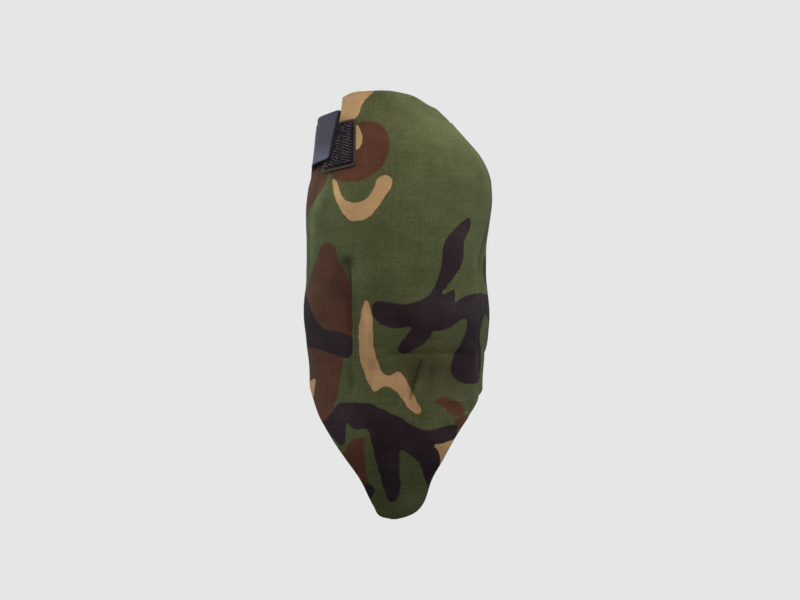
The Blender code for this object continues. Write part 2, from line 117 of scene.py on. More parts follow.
# Side edges of the bib: z, lower x, higher x
BIB_EDGES = ((5.0, -5.0, -2.5), (7.0, -13.5, 5.0), (10.0, -17.0, 11.5),
             (14.0, -18.8, 16.0), (21.0, -22.4, 20.2), (37.3, -30.0, 25.4),
             (52.9, -40.8, 33.9), (68.3, -51.5, 42.4), (82.9, -60.8, 52.0),
             (98.0, -67.2, 61.0))


# ---------------------------------------------------------------- curve helpers
def hermite(table, keys, column):
    """Smooth curve through one column of a table, flat beyond its ends."""
    table = np.array(table)
    x, y = table[:, 0], table[:, column]
    wide_x = np.pad(x, 1, mode="reflect", reflect_type="odd")
    wide_y = np.pad(y, 1, mode="edge")
    slope = (wide_y[2:] - wide_y[:-2]) / (wide_x[2:] - wide_x[:-2])
    keys = np.clip(keys, x[0], x[-1])
    i = np.clip(np.searchsorted(x, keys, side="right") - 1, 0, len(x) - 2)
    span = x[i + 1] - x[i]
    t = (keys - x[i]) / span
    return ((2 * t ** 3 - 3 * t ** 2 + 1) * y[i]
            + (t ** 3 - 2 * t ** 2 + t) * span * slope[i]
            + (-2 * t ** 3 + 3 * t ** 2) * y[i + 1]
            + (t ** 3 - t ** 2) * span * slope[i + 1])


def soft(table, key, width):
    """Linear table with its corners eased."""
    x, y = np.array(table).T
    return sum(np.interp(key + k * width, x, y) for k in (-1, -0.5, 0, 0.5, 1)) / 5.0


def smoothstep(t):
    t = np.clip(t, 0, 1)
    return t * t * (3 - 2 * t)


def gap(a, b):
    """Angle from b to a, between -180 and 180."""
    return (a - b + 180.0) % 360.0 - 180.0


def bell(distance, width):
    return np.exp(-(distance / width) ** 2)


def profile(across, *terms):
    """Sum of bells across a line; each term is (height, offset, width)."""
    return sum(height * bell(across - offset, width) for height, offset, width in terms)


def end_fade(run, first, last):
    """Fade over the first and last shares of a line."""
    return np.clip(run / first, 0, 1) * np.clip((1.0 - run) / last, 0, 1)


def run_length(points):
    """Length of a polyline up to each of its points."""
    steps = np.linalg.norm(np.diff(points, axis=0), axis=1)
    return np.concatenate([[0], np.cumsum(steps)])


# ---------------------------------------------------------------- plain surface
STATIONS = np.arange(-10.0, 365.0, 0.5)
SECTION_CURVES = [hermite(SECTIONS, STATIONS, column) for column in range(1, 6)]


def base(angle, z):
    """Plain outer face, before the shift."""
    angle, z = np.asarray(angle, float), np.asarray(z, float)
    x0, x1, front, back, centre_y = (np.interp(z, STATIONS, c) for c in SECTION_CURVES)
    half_width, centre_x = 0.5 * (x1 - x0), 0.5 * (x1 + x0)
    sin, cos = np.sin(np.radians(angle)), np.cos(np.radians(angle))
    depth = np.where(cos > 0, front, back)
    power = 2.0 / 2.12                      # slightly squared ellipse
    x = centre_x + half_width * np.sign(sin) * np.abs(sin) ** power
    y = centre_y - depth * np.sign(cos) * np.abs(cos) ** power
    # nose ridge above, and a valley between two swells below it
    off = gap(angle, NOSE)
    rise = smoothstep((z - 204.0) / 54.0)
    fall = np.clip((342.0 - z) / 84.0, 0, 1)
    ridge = 6.5 * rise * (0.25 + 0.75 * fall) * bell(off, 17.0)
    level = np.exp(-((z - 172.0) / 45.0) ** 6)
    valley = level * (-3.6 * bell(off, 8.0) + 1.3 * bell(np.abs(off) - 20.0, 12.0))
    out = ridge + valley
    return np.stack([x + out * sin, y - out * cos, z], -1)


def surface_normal(surface, angle, z, angle_step, z_step):
    across = surface(angle + angle_step, z) - surface(angle - angle_step, z)
    up = surface(angle, z + z_step) - surface(angle, z - z_step)
    normal = np.cross(across, up)
    return normal / np.linalg.norm(normal, axis=-1, keepdims=True)


def base_normal(angle, z):
    return surface_normal(base, angle, z, angle_step=0.6, z_step=2.0)


def angle_at_x(x, z):
    """Plan angle on the front at which the plain face reaches x."""
    x, z = np.broadcast_arrays(np.asarray(x, float), np.asarray(z, float))
    low, high = np.full(x.shape, -90.0), np.full(x.shape, 90.0)
    for _ in range(32):
        middle = 0.5 * (low + high)
        past = base(middle, z)[..., 0] > x
        low, high = np.where(past, low, middle), np.where(past, middle, high)
    return 0.5 * (low + high)


def degrees_for(mm, angle, z):
    return mm / np.linalg.norm(base(angle + 0.5, z) - base(angle - 0.5, z), axis=-1)


def along(angle, z, mm):
    """Angle reached after walking some mm round the face."""
    steps = 28
    for _ in range(steps):
        angle = angle + degrees_for(mm / steps, angle, z)
    return angle


def unwrap(angle, z):
    """Flat cloth coordinates in mm."""
    return np.stack([angle * MM_PER_DEGREE, z], -1)


def rear_edge(z):
    upper = angle_at_x(soft(REAR_EDGE_X, z, 1.0), z)
    lower = soft(REAR_EDGE_A, z, 4.0)
    t = np.clip((z - 240.0) / 10.0, 0, 1)
    return lower * (1 - t) + upper * t


def left_rear_edge(z):
    """The left half goes round the back and ends 1 mm short of the right half."""
    rear = rear_edge(np.minimum(z, 309.0))
    return 360.0 + rear - degrees_for(1.0, rear, z)


def top_edge(angle):
    # the hem stands up a little in front of the cheek and drops to the seam
    stand = 2.3 * bell(angle - 62.5, np.where(angle < 62.5, 6.2, 2.9))
    return soft(TOP_EDGE, angle, 6.0) + stand - 1.6 * bell(angle - 74.0, 5.5)


def right_low_edge(angle):
    """The middle of this edge is the join with the bib."""
    hem = soft(LOW_EDGE, angle, 2.0)
    return np.where((angle > JOIN_A) & (angle < JOIN_B), JOIN_Z, np.maximum(hem, JOIN_Z))


def left_low_edge(angle):
    return np.maximum(soft(LOW_EDGE, np.minimum(angle, 252.0), 2.0), JOIN_Z)


# ------------------------------------------------------------ camouflage print
def outlines(text):
    """Closed outlines from "a,b a,b ..." text, with "/" between outlines."""
    return [np.array([point.split(",") for point in part.split()], float)
            for part in text.split("/")]


# Blotches seen from the front: x,height in mm from the view axis, in the plane
# y = 0. They are cast on the cloth from the eye.
VIEW_BLOTCHES = {
    "brown": outlines("""
        -38.4,139.2 -30.4,142.8 -22.4,143.2 -14.4,139.2 -9.6,132 -8.4,122.4 -11.2,112
        -16,104.8 -23.2,99.2 -32,95.2 -40,94.4 -48,95.2 -55.2,100 -60,108 -62.4,120
        -59.2,132 -49.6,137.6 /
        -57.6,46.4 -54.4,45.2 -51.6,42.4 -50.4,36 -49.2,30.4 -44.8,22.4 -41.6,13.6
        -39.6,2.4 -38.4,-14.4 -38.4,-32 -43.2,-41.6 -45.12,-47.2 -46.8,-57.6 -49.6,-72
        -52,-83.2 -55.2,-92 -60.8,-99.2 -67.2,-94.4 -75.2,-81.6 -80.8,-64 -83.2,-40
        -83.2,-16 -80.8,-1.6 -74.4,8 -71.2,20 -67.6,30.4 -64.8,39.2 -62.4,44.8 /
        27.6,-80.4 32,-78.24 38.4,-78.4 45.6,-80.48 50.4,-83.68 52,-87.6 50,-92
        44.8,-93.12 40,-90.4 35.6,-86 30.4,-82.72 /
        44.8,-96 48.8,-92.8 53.6,-92.4 54.4,-96.8 49.6,-101.6 45.2,-104 43.2,-100.8 /
        -68.96,100 -62.96,101.92 -57.6,101.44 -58.24,96.8 -60.4,91.2 -64,85.6 -68.8,78.4
        -72.4,71.2 -74.8,66.4 -78.4,70.4 -77.6,84 -73.6,94.4 /
        -42.4,-119.2 -39.2,-112.8 -33.6,-110.4 -28,-110 -28.8,-117.6 -28.4,-128
        -26.4,-140.8 -23.2,-151.2 -27.2,-153.6 -33.6,-145.6 -40.8,-134.4 -46.4,-124.8"""),
    "tan": outlines("""
        -44.8,172.8 -33.6,174.4 -19.2,172.8 -21.6,166.4 -27.2,160.8 -31.2,154.4 -34,146.4
        -40.8,143.2 -49.6,140.8 -53.6,150.4 -52,164 /
        -34.4,140 -32,136.8 -30,129.6 -31.6,124 -34.4,120 -38.4,124 -38.4,135.2 /
        -54,96.4 -50.8,95.2 -48.8,88 -46,82 -41.6,78.8 -35.2,77.92 -27.6,80.4 -22,87.6
        -18,96.4 -13.6,100 -9.2,99.36 -6.24,95.6 -6.8,90.8 -12,82.8 -18.4,73.6 -25.6,66
        -34.4,63.04 -42,64.96 -47.6,72.4 -51.84,80.8 -53.76,88.8 /
        -27.52,1.6 -24.32,-4 -22.24,-12.8 -21.6,-27.2 -20.8,-40 -18,-49.6 -13.6,-58.4
        -9.2,-60.8 -5.6,-59.6 -1.28,-56.16 1.6,-59.2 5.2,-64.8 8.8,-71.2 12.4,-79.2
        16.8,-86.4 16.96,-90.08 14,-91.04 8.8,-88.48 4.8,-83.2 0,-76.4 -4.8,-71.2
        -11.2,-69.12 -16,-70.4 -20.48,-73.6 -24.4,-68 -28.8,-57.6 -31.68,-46.4
        -32.8,-34.4 -32.48,-20.8 -30.4,-8.8 /
        -72,-64.8 -67.6,-63.2 -68.4,-70.4 -69.92,-78.4 -76.8,-73.6 -78.4,-65.6 /
        24.8,-116.48 32,-114 37.6,-112 42.08,-110.88 45.6,-113.6 41.6,-121.6 36.8,-129.6
        32.48,-132.8 32,-127.2 30.88,-122 28.4,-118.4"""),
    # band over the neck, branch on the cheek, lower field of the bib, small spot
    "black": outlines("""
        -78.4,7.2 -73.6,0 -70.4,-9.6 -66.4,-17.6 -60.8,-22.8 -52.8,-24.8 -44.8,-26.4
        -38.8,-28.8 -37.6,-36 -38.8,-44 -42,-46.56 -48,-45.6 -55.2,-42.8 -63.2,-40
        -72.8,-38 -81.6,-36.8 -86.4,-16 /
        54.4,65.6 56.64,64.4 56.8,60 54.24,53.6 51.2,46.4 50.72,36.8 48.8,28 44.8,20.8
        40,14.4 35.6,8.8 32.4,5.12 37.6,5.6 42.08,8.96 43.52,6.8 43.2,1.2 42.8,-2.4
        46.8,0.64 51.2,3.2 56.8,4.8 62.4,5.44 67.2,4.8 72,0 68.8,-8 66,-13.6 64,-22.4
        63.6,-30.4 65.12,-40 64.96,-51.2 64.4,-60.8 62.4,-66 56.8,-67.36 50.4,-65.92
        45.28,-62.08 42.4,-55.6 43.36,-46.4 47.2,-38.4 50.4,-30 52.48,-21.6 51.84,-15.2
        47.2,-16 41.2,-20.4 36,-23.2 30.8,-24.8 26,-24.8 23.2,-30 18.4,-35.6 12,-39.2
        6.4,-42.4 1.2,-43.44 -1.92,-40.8 -0.8,-36.4 2.8,-31.2 7.2,-25.92 9.6,-21.84
        3.2,-22.08 -4.8,-22.4 -11.6,-21.12 -17.6,-17.92 -21.92,-12 -22.72,-6 -20,-1.76
        -14.8,-0.64 -8,-2.08 -0.8,-3.2 7.2,-2.88 15.2,-0.48 22.88,4.32 28,12 31.68,21.6
        33.6,32 34.24,40.8 36.8,48.4 42,55.2 48,61.2 /
        -62.4,-99.2 -56,-92 -50.4,-83.52 -44,-82.08 -35.2,-82.24 -25.6,-82.72 -17.6,-85.6
        -8,-90 1.6,-94.72 10,-100.4 18.4,-104 27.2,-103.52 35.2,-101.12 41.6,-99.68
        45.92,-100.48 46.08,-104.8 43.6,-110.4 39.2,-113.12 32.8,-114.88 26,-116.16
        29.2,-119.2 31.84,-124.4 32,-130.8 28.8,-136.8 25.2,-143.2 23.2,-148.8
        20.8,-146.4 18.4,-138.4 15.2,-129.6 9.6,-124.8 3.6,-120.8 0,-119.52 -0.48,-126.4
        -0.32,-136 0.32,-147.2 -0.32,-155.2 -2.8,-160.4 -6.4,-161.92 -9.92,-159.2
        -12.4,-152.8 -14.8,-144.8 -17.92,-134.4 -20.48,-124 -22.72,-113.2 -25.28,-104.4
        -29.12,-102.88 -34.4,-104 -39.2,-101.6 -42.56,-97.2 -43.2,-104.8 -43.68,-112.8
        -46.72,-116.48 -51.2,-112.8 -57.6,-105.6 /
        -29.28,-150.4 -26.4,-146.8 -22.88,-147.68 -20.4,-152 -21.12,-156.32 -24.8,-159.2
        -28.8,-156"""),
}
# Blotches on the sides that the front view doesn't show: plan angle,z
HIDDEN_BLOTCHES = {
    "brown": outlines("""
        96,268 104,280 118,284 128,274 130,258 122,246 126,232 120,222 108,226 102,240
        94,252 /
        150,196 160,208 172,206 184,214 196,208 198,194 186,184 180,170 168,164 158,172
        152,184 /
        88,128 92,142 90,158 84,152 82,134 /
        118,116 126,132 140,138 150,130 148,116 134,104 122,102 /
        228,200 238,214 250,222 262,216 264,200 254,188 250,172 238,168 230,182 /
        206,288 214,302 230,304 240,294 238,280 224,274 212,276 /
        279,246 272,256 268,272 274,286 286,290 298,286 306,276 305,262 296,250 288,240 /
        188,118 196,132 208,138 218,130 214,118 202,110 /
        -118,214 -108,226 -98,226 -90,236 -84,232 -88,218 -98,206 -110,204"""),
    "tan": outlines("""
        106,300 114,310 126,312 136,304 142,292 138,288 130,296 120,300 110,294 /
        142,252 148,262 158,266 164,258 170,246 178,240 182,246 174,258 170,272 158,280
        146,274 138,262 /
        100,168 106,182 114,190 118,204 112,204 104,194 98,182 94,170 /
        200,236 206,246 218,248 228,240 234,246 226,258 212,262 200,254 194,244 /
        216,144 222,158 220,174 214,170 210,156 208,146 /
        160,128 168,140 180,144 184,150 174,154 162,150 154,140 /
        258,290 264,300 262,311 254,308 250,298 /
        -116,146 -106,156 -96,152 -90,158 -88,166 -80,150 -88,138 -104,136"""),
    "black": outlines("""
        84,176 92,178 97,170 94,160 98,148 94,140 88,146 85,158 80,166 80,174 /
        83,214 90,206 92,192 88,184 82,190 80,204 /
        110,252 116,262 124,262 132,254 144,250 156,244 160,234 150,230 140,234 136,222
        140,208 134,200 126,208 126,222 120,236 112,242 /
        166,302 174,314 188,318 200,312 196,300 184,292 182,280 172,278 168,290 /
        128,158 134,172 146,178 150,168 160,162 162,152 150,152 146,142 136,142 /
        190,166 198,180 210,188 222,196 228,190 220,180 224,166 216,156 206,158 198,150
        188,154 /
        236,268 244,278 256,276 266,262 264,248 256,238 258,226 248,228 244,240 234,250 /
        232,150 240,160 250,156 262,152 262,138 250,134 240,136 /
        108,330 116,338 130,344 140,338 138,328 126,322 114,322 /
        -122,168 -112,180 -102,186 -94,196 -88,190 -92,176 -100,164 -112,158"""),
}
SPREAD = 1.22           # enlargement of the blotches wholly on the far side
FAR_SIDE = (95.0, 268.0)
FIELD_REACH = 12.0      # distances are cut off here


def view_to_cloth(points):
    """Flat cloth coordinates under points of the front view."""
    view_x, view_height = np.array(points, float).T
    y = np.full(view_x.shape, -50.0)
    for _ in range(8):
        scale = (EYE + y) / EYE
        x = VIEW_X + view_x * scale
        z = VIEW_Z + view_height * scale
        angle = angle_at_x(x, z)
        y = base(angle, z)[..., 1]
    # points past the outline go on round the side, at 2.2 degrees for each mm
    low = base(np.full_like(z, -90.0), z)[..., 0]
    high = base(np.full_like(z, 90.0), z)[..., 0]
    angle = np.where(x < low, -90.0 + (x - low) * 2.2, angle)
    angle = np.where(x > high, 90.0 + (x - high) * 2.2, angle)
    return unwrap(angle, z)


def smooth_loop(points, parts):
    """Catmull-Rom curve through a closed outline."""
    p0, p1, p2, p3 = (np.roll(points, k, 0)[:, None] for k in (1, 0, -1, -2))
    t = (np.arange(parts) / parts)[None, :, None]
    curve = 0.5 * (2 * p1 + (-p0 + p2) * t + (2 * p0 - 5 * p1 + 4 * p2 - p3) * t * t
                   + (-p0 + 3 * p1 - 3 * p2 + p3) * t ** 3)
    return curve.reshape(-1, 2)


def even_loop(loop, step, sigma):
    """Loop resampled at even steps and softened a little, in mm."""
    closed = np.vstack([loop, loop[:1]])
    run = run_length(closed)
    t = np.linspace(0, run[-1], max(16, int(run[-1] / step)), endpoint=False)
    even = np.stack([np.interp(t, run, closed[:, 0]), np.interp(t, run, closed[:, 1])], -1)
    reach = int(3 * sigma / step) + 1
    weights = np.exp(-0.5 * (np.arange(-reach, reach + 1) * step / sigma) ** 2)
    weights /= weights.sum()
    return sum(weights[i + reach] * np.roll(even, -i, 0) for i in range(-reach, reach + 1))


def signed_distance(flat, loop):
    """Distance to a closed loop, negative inside; flat is (n, 2)."""
    start, end = loop[None], np.roll(loop, -1, 0)[None]
    side = end - start
    out = np.full(len(flat), FIELD_REACH)
    margin = FIELD_REACH + 2.0
    boxed = (flat >= loop.min(0) - margin) & (flat <= loop.max(0) + margin)
    near = np.where(boxed.all(1))[0]
    for first in range(0, len(near), 4000):
        chosen = near[first:first + 4000]
        point = flat[chosen][:, None, :]
        t = ((point - start) * side).sum(-1) / np.maximum((side * side).sum(-1), 1e-9)
        foot = start + np.clip(t, 0, 1)[..., None] * side
        distance = np.sqrt(((foot - point) ** 2).sum(-1)).min(1)
        # a ray towards +x crosses the loop an odd number of times from inside
        y0, y1 = start[..., 1], end[..., 1]
        crosses = (y0 > point[..., 1]) != (y1 > point[..., 1])
        rise = np.where(y1 == y0, 1e-9, y1 - y0)
        hit_x = start[..., 0] + (point[..., 1] - y0) / rise * side[..., 0]
        inside = (crosses & (point[..., 0] < hit_x)).sum(1) % 2 == 1
        out[chosen] = np.where(inside, -distance, distance)
    return out


def blotch_loops(colour):
    loops = [even_loop(view_to_cloth(smooth_loop(outline, 5)), step=0.8, sigma=1.2)
             for outline in VIEW_BLOTCHES[colour]]
    for outline in HIDDEN_BLOTCHES[colour]:
        loop = smooth_loop(outline, 8)
        if loop[:, 0].min() > FAR_SIDE[0] and loop[:, 0].max() < FAR_SIDE[1]:
            loop = loop.mean(0) + SPREAD * (loop - loop.mean(0))
        loops.append(even_loop(unwrap(loop[:, 0], loop[:, 1]), step=1.2, sigma=2.0))
    return loops


PRINT_LOOPS = {colour: blotch_loops(colour) for colour in ("brown", "tan", "black")}


def print_fields(flat):
    """Signed distance to the blotches of each ink, with a slight waver."""
    u, v = flat[:, 0], flat[:, 1]
    waver = 0.35 * np.sin(u * 0.53 + 1.3 * np.sin(v * 0.21)) * np.sin(v * 0.47 + 0.9)
    return {colour: np.min([signed_distance(flat, loop) for loop in loops], axis=0) + waver
            for colour, loops in PRINT_LOOPS.items()}


# ------------------------------------------------------------ folds and seams
# Sewn lines of the near side: x, height in the front view
SIDE_DART = view_to_cloth([(-42.4, 30.4), (-42, 22.4), (-40, 9.6), (-38, -4.8),
                           (-37.2, -24), (-36.96, -41.6), (-37.6, -60.8), (-39.2, -78.4)])
CHIN_DART = view_to_cloth([(-19.2, -44), (-9.6, -43.2), (1.6, -42.72), (12.8, -42.4),
                           (25.6, -42), (38.4, -42.24), (51.2, -42.8), (62.4, -44)])
UNDER_DART = view_to_cloth([(17.6, -48), (14.8, -56), (12, -64.8), (9.6, -73.6), (8, -81.6)])
# sewn edge of the side dart, with a painted highlight along its ridge
RIDGE_HIGHLIGHT_LINE = view_to_cloth([(-38.08, 28.8), (-37.76, 8), (-37.28, -16), (-37.44, -40),
                            (-37.92, -67.2)])
# Painted shade spots (darker behind the side dart, under the strap and in the throat), then
# painted light spots: x and height in the front view, half width, half height, amount
PAINTED_SHADE_SPOTS = (
    (-47.2, 14.4, 9.5, 16.0, 1.05), (-8, -76.8, 34.0, 11.0, 0.22),
    (44, -86.4, 9.0, 8.0, 0.45), (-62.4, 104.8, 5.0, 4.0, 1.00),
    (19.2, -55.2, 9.5, 9.5, 0.70), (-1.6, -49.6, 24.0, 8.0, 0.28),
    (-53.6, 12.8, 8.0, 10.0, 0.50), (-55.2, 56.8, 7.0, 8.0, 0.36),
    (-48, -72.8, 8.0, 8.0, 0.42), (56.8, -82.4, 7.5, 7.5, 0.55),
)
# painted light: lighter patches on the left flank, the right edge, the chin, the lower left and
# the bib's tip
PAINTED_LIGHT_SPOTS = (
    (-66.4, 79.2, 6.0, 8.0, 0.92), (-60.8, 90.4, 5.0, 7.0, 0.45),
    (-70.4, 60.8, 6.0, 13.0, 0.64), (-71.2, 40, 5.0, 12.0, 0.44),
    (-50.4, 88, 7.0, 8.0, 0.16), (-26.4, -17.6, 4.5, 12.0, 0.35),
    (-56, -56.8, 8.0, 9.0, 0.24), (12, -160, 13.0, 9.0, 0.30),
    (68.8, 70.4, 7.0, 26.0, 0.24),
)


def line_distance(flat, line):
    """Signed distance to a polyline, and how far along it, 0 to 1."""
    best = np.full(flat.shape[:-1], 1e9)
    side, run = np.zeros(best.shape), np.zeros(best.shape)
    lengths = run_length(line)
    for i in range(len(line) - 1):
        step = line[i + 1] - line[i]
        t = np.clip(((flat - line[i]) @ step) / (step @ step), 0, 1)
        off = flat - (line[i] + t[..., None] * step)
        distance = np.linalg.norm(off, axis=-1)
        nearer = distance < best
        best = np.where(nearer, distance, best)
        turn = np.sign(step[0] * off[..., 1] - step[1] * off[..., 0])
        side = np.where(nearer, turn, side)
        reached = lengths[i] + t * (lengths[i + 1] - lengths[i])
        run = np.where(nearer, reached / lengths[-1], run)
    return np.where(side == 0, 1, side) * best, run


def strap_flat(z):
    """The stiff strap doesn't follow the head's flare: its own, straighter height."""
    return z + 0.52 * (303.0 - z)


def strap_press(angle, z):
    """How far the strap presses the cloth in under its lower part."""
    off = gap(angle, STRAP_ANGLE)
    out = np.zeros(angle.shape)
    near = (off < 6.0) & (off > -75.0) & (z > 250.0) & (z < 345.0)
    angle, z = angle[near], z[near]
    run = -off[near] * 1.15                 # mm for each degree here
    across = (z - (STRAP_Z - run * math.tan(STRAP_TILT))) / math.cos(STRAP_TILT)
    along_strap = run / math.cos(STRAP_TILT)
    sink = base(angle, z) - base(angle, strap_flat(z))
    depth = (sink * base_normal(angle, z)).sum(-1) + 0.25
    # only where the strap has come down from the hook tape
    down = smoothstep(np.clip((along_strap - 22.0) / 14.0, 0, 1)
                      * np.clip((66.0 - along_strap) / 6.0, 0, 1))
    beyond = np.maximum(np.abs(across) - TAPE_H / 2, 0.0)
    out[near] = np.maximum(depth, 0.0) * down * bell(beyond, 6.0)
    return out


def relief(angle, z):
    """Small outward moves that turn the plain face into worn cloth."""
    flat = unwrap(angle, z)
    # side dart: a sewn fold, deepest near its top, with a ridge in front
    across, run = line_distance(flat, SIDE_DART)
    fade = end_fade(run, 0.10, 0.12)
    depth = 0.28 + 0.72 * bell(run - 0.12, 0.30)
    cut = 0.25 + 0.75 * np.clip((0.45 - run) / 0.2, 0, 1)
    out = fade * depth * (cut * profile(across, (-1.25, 0, 1.6))
                          + profile(across, (-1.3, 0, 7.0)))
    out += fade * profile(across, (0.85, 5.4, 3.2))
    # dimple at its upper end
    from_end = np.linalg.norm(flat - (SIDE_DART[0] + np.array([0.0, -2.0])), axis=-1)
    out += profile(from_end, (-1.7, 0, 5.5), (-0.9, 0, 13.0))
    # chin dart: a fine sewn line with a soft pillow beside it
    across, run = line_distance(flat, CHIN_DART)
    out += end_fade(run, 0.2, 0.05) * profile(across, (-0.22, 0, 1.6), (-0.35, 0, 4.5),
                                              (0.2, -4.5, 3.0))
    # crease under the chin
    across, run = line_distance(flat, UNDER_DART)
    out += np.sin(np.clip(run, 0, 1) * math.pi) ** 0.6 * profile(
        across, (-1.3, 0, 1.7), (0.9, 3.8, 2.4), (-0.5, 0, 6.0))
    # the same darts beyond the nose, mirrored about it
    mirrored = unwrap(2 * NOSE - angle, z)
    for line, height in ((SIDE_DART, 1.0), (CHIN_DART, 0.5)):
        across, run = line_distance(mirrored, line)
        fade = end_fade(run, 0.1, 0.1) * (angle > 80.0)
        out += height * fade * profile(across, (-1.0, 0, 1.5), (-1.0, 0, 6.5))
    # the chin stands forward and the throat tucks in below it, on both halves
    halves = bell(gap(angle, 38.0), 36.0) + 0.8 * bell(gap(angle, 2 * NOSE - 38.0), 32.0)
    off_ridge = 1.0 - bell(gap(angle, NOSE + 3.0), 19.0)
    out += halves * (2.6 * bell(z - 168.0, 19.0) - 3.6 * off_ridge * bell(z - 119.0, 19.0))
    # groove at the butted centre-front seam, with the sewn edges rolled in
    out += profile(gap(angle, NOSE) * MM_PER_DEGREE, (-0.9, 0, 0.9), (-0.35, 0, 3.5))
    # slow unevenness of the sheet
    u, v = flat[..., 0], flat[..., 1]
    out += 0.28 * np.sin(u * 0.083 + 1.7 * np.sin(v * 0.031)) * np.sin(v * 0.052 + 0.6)
    out += 0.12 * np.sin(u * 0.21 + v * 0.13 + 2.0) * np.sin(v * 0.17 - u * 0.06)
    return out - strap_press(angle, z)


def crease_fields(flat):
    """Signed distance to the nearest sewn or pressed line, and its strength."""
    best = np.full(flat.shape[:-1], FIELD_REACH)
    strength = np.zeros(best.shape)
    for line, amount in ((SIDE_DART, 0.85), (CHIN_DART, 0.28), (UNDER_DART, 0.8)):
        across, run = line_distance(flat, line)
        nearer = np.abs(across) < np.abs(best)
        best = np.where(nearer, across, best)
        ends = end_fade(run, 0.08, 0.12)
        if line is SIDE_DART:
            ends = ends * (0.22 + 0.78 * np.clip((0.42 - run) / 0.2, 0, 1))
        strength = np.where(nearer, amount * ends, strength)
    return best, strength


# adds up a list of painted spots, of shade and of light alike
def painted_spots(flat, spots):
    total = np.zeros(flat.shape[:-1])
    for x, height, half_width, half_height, amount in spots:
        u, v = view_to_cloth([(x, height)])[0]
        total += amount * bell(flat[..., 0] - u, half_width) * bell(flat[..., 1] - v, half_height)
    return total


def face(angle, z):
    """Outer face of the finished cloth, before the shift."""
    return base(angle, z) + relief(angle, z)[..., None] * base_normal(angle, z)


# ----------------------------------------------------------------- mesh making
def new_object(name, verts, faces, material, shift=SHIFT):
    """Smooth mesh object from points in mm."""
    mesh = bpy.data.meshes.new(name)
    mesh.from_pydata(((np.asarray(verts, float) + shift) * MM).tolist(), [], faces)
    mesh.validate()
    mesh.update()
    mesh.shade_smooth()
    ob = bpy.data.objects.new(name, mesh)
    bpy.context.scene.collection.objects.link(ob)
    mesh.materials.append(material)
    return ob


def grid_normals(points):
    normal = np.cross(np.gradient(points, axis=1), np.gradient(points, axis=0))
    return normal / np.maximum(np.linalg.norm(normal, axis=-1, keepdims=True), 1e-9)


def sharpen(mesh, loops):
    """Mark closed loops of vertices as creases."""
    pairs = {tuple(sorted(pair)) for loop in loops
             for pair in zip(loop.tolist(), np.roll(loop, -1).tolist())}
    sharp = np.array([tuple(sorted(edge.vertices)) in pairs for edge in mesh.edges], bool)
    mesh.attributes.new("sharp_edge", "BOOLEAN", "EDGE").data.foreach_set("value", sharp)


def join_normals(mesh, row, normals, outer_faces):
    """Give the outer face the surface's own normals along a joined row."""
    corners = np.zeros((len(mesh.loops), 3), np.float32)
    mesh.corner_normals.foreach_get("vector", corners.ravel())
    vertex = np.zeros(len(mesh.loops), np.int32)
    mesh.loops.foreach_get("vertex_index", vertex)
    # the outer face's quads come first
    chosen = (np.arange(len(vertex)) < 4 * outer_faces) & np.isin(vertex, row)
    corners[chosen] = normals.reshape(-1, 3)[vertex[chosen]]
    mesh.normals_split_custom_set([tuple(corner) for corner in corners])


def sheet(name, points, normals, near, far, material, attrs, edge_round, join_row=None):
    """Closed ply between two depths under a grid of points.

    The rim bulges by edge_round, except along join_row (0 or -1), where the
    cloth runs on into the next sheet.
    """
    rows, cols = points.shape[:2]
    count, thick = rows * cols, far - near
    outer = (points - normals * near).reshape(-1, 3)
    inner = (points - normals * far).reshape(-1, 3)
    index = np.arange(count).reshape(rows, cols)
    a, b, c, d = index[:-1, :-1], index[:-1, 1:], index[1:, 1:], index[1:, :-1]
    faces = np.stack([a, b, c, d], -1).reshape(-1, 4).tolist()
    faces += (np.stack([a, d, c, b], -1).reshape(-1, 4) + count).tolist()
    # rim, once round the grid, with each point's neighbour inside it
    rim = ([(0, col) for col in range(cols)] + [(row, cols - 1) for row in range(1, rows)]
           + [(rows - 1, col) for col in range(cols - 2, -1, -1)]
           + [(row, 0) for row in range(rows - 2, 0, -1)])
    rim_row, rim_col = np.array(rim).T
    rim_at = rim_row * cols + rim_col
    inside = np.clip(rim_row, 1, rows - 2) * cols + np.clip(rim_col, 1, cols - 2)
    outward = outer[rim_at] - outer[inside]
    outward /= np.maximum(np.linalg.norm(outward, axis=1, keepdims=True), 1e-9)
    swell = np.full(len(rim), edge_round)
    if join_row is not None:
        swell[rim_row == join_row % rows] = 0.0
    middle, rim_normal = 0.5 * (outer[rim_at] + inner[rim_at]), normals.reshape(-1, 3)[rim_at]
    verts, chain = [outer, inner], [rim_at]
    for k in (1, 2):
        turn = math.pi * k / 3
        verts.append(middle + 0.5 * thick * math.cos(turn) * rim_normal
                     + (swell * math.sin(turn))[:, None] * outward)
        chain.append(np.arange(len(rim)) + 2 * count + (k - 1) * len(rim))
    chain.append(rim_at + count)
    for upper, lower in zip(chain[:-1], chain[1:]):
        faces += np.stack([upper, lower, np.roll(lower, -1), np.roll(upper, -1)], -1).tolist()
    ob = new_object(name, np.concatenate(verts), faces, material)
    for key, values in attrs.items():
        values = np.asarray(values, np.float32).reshape(-1)
        values = np.concatenate([values, values, values[rim_at], values[rim_at]])
        ob.data.attributes.new(key, "FLOAT", "POINT").data.foreach_set("value", values)
    sharpen(ob.data, (rim_at, rim_at + count))
    if join_row is not None:
        join_normals(ob.data, index[join_row], normals, (rows - 1) * (cols - 1))
    return ob


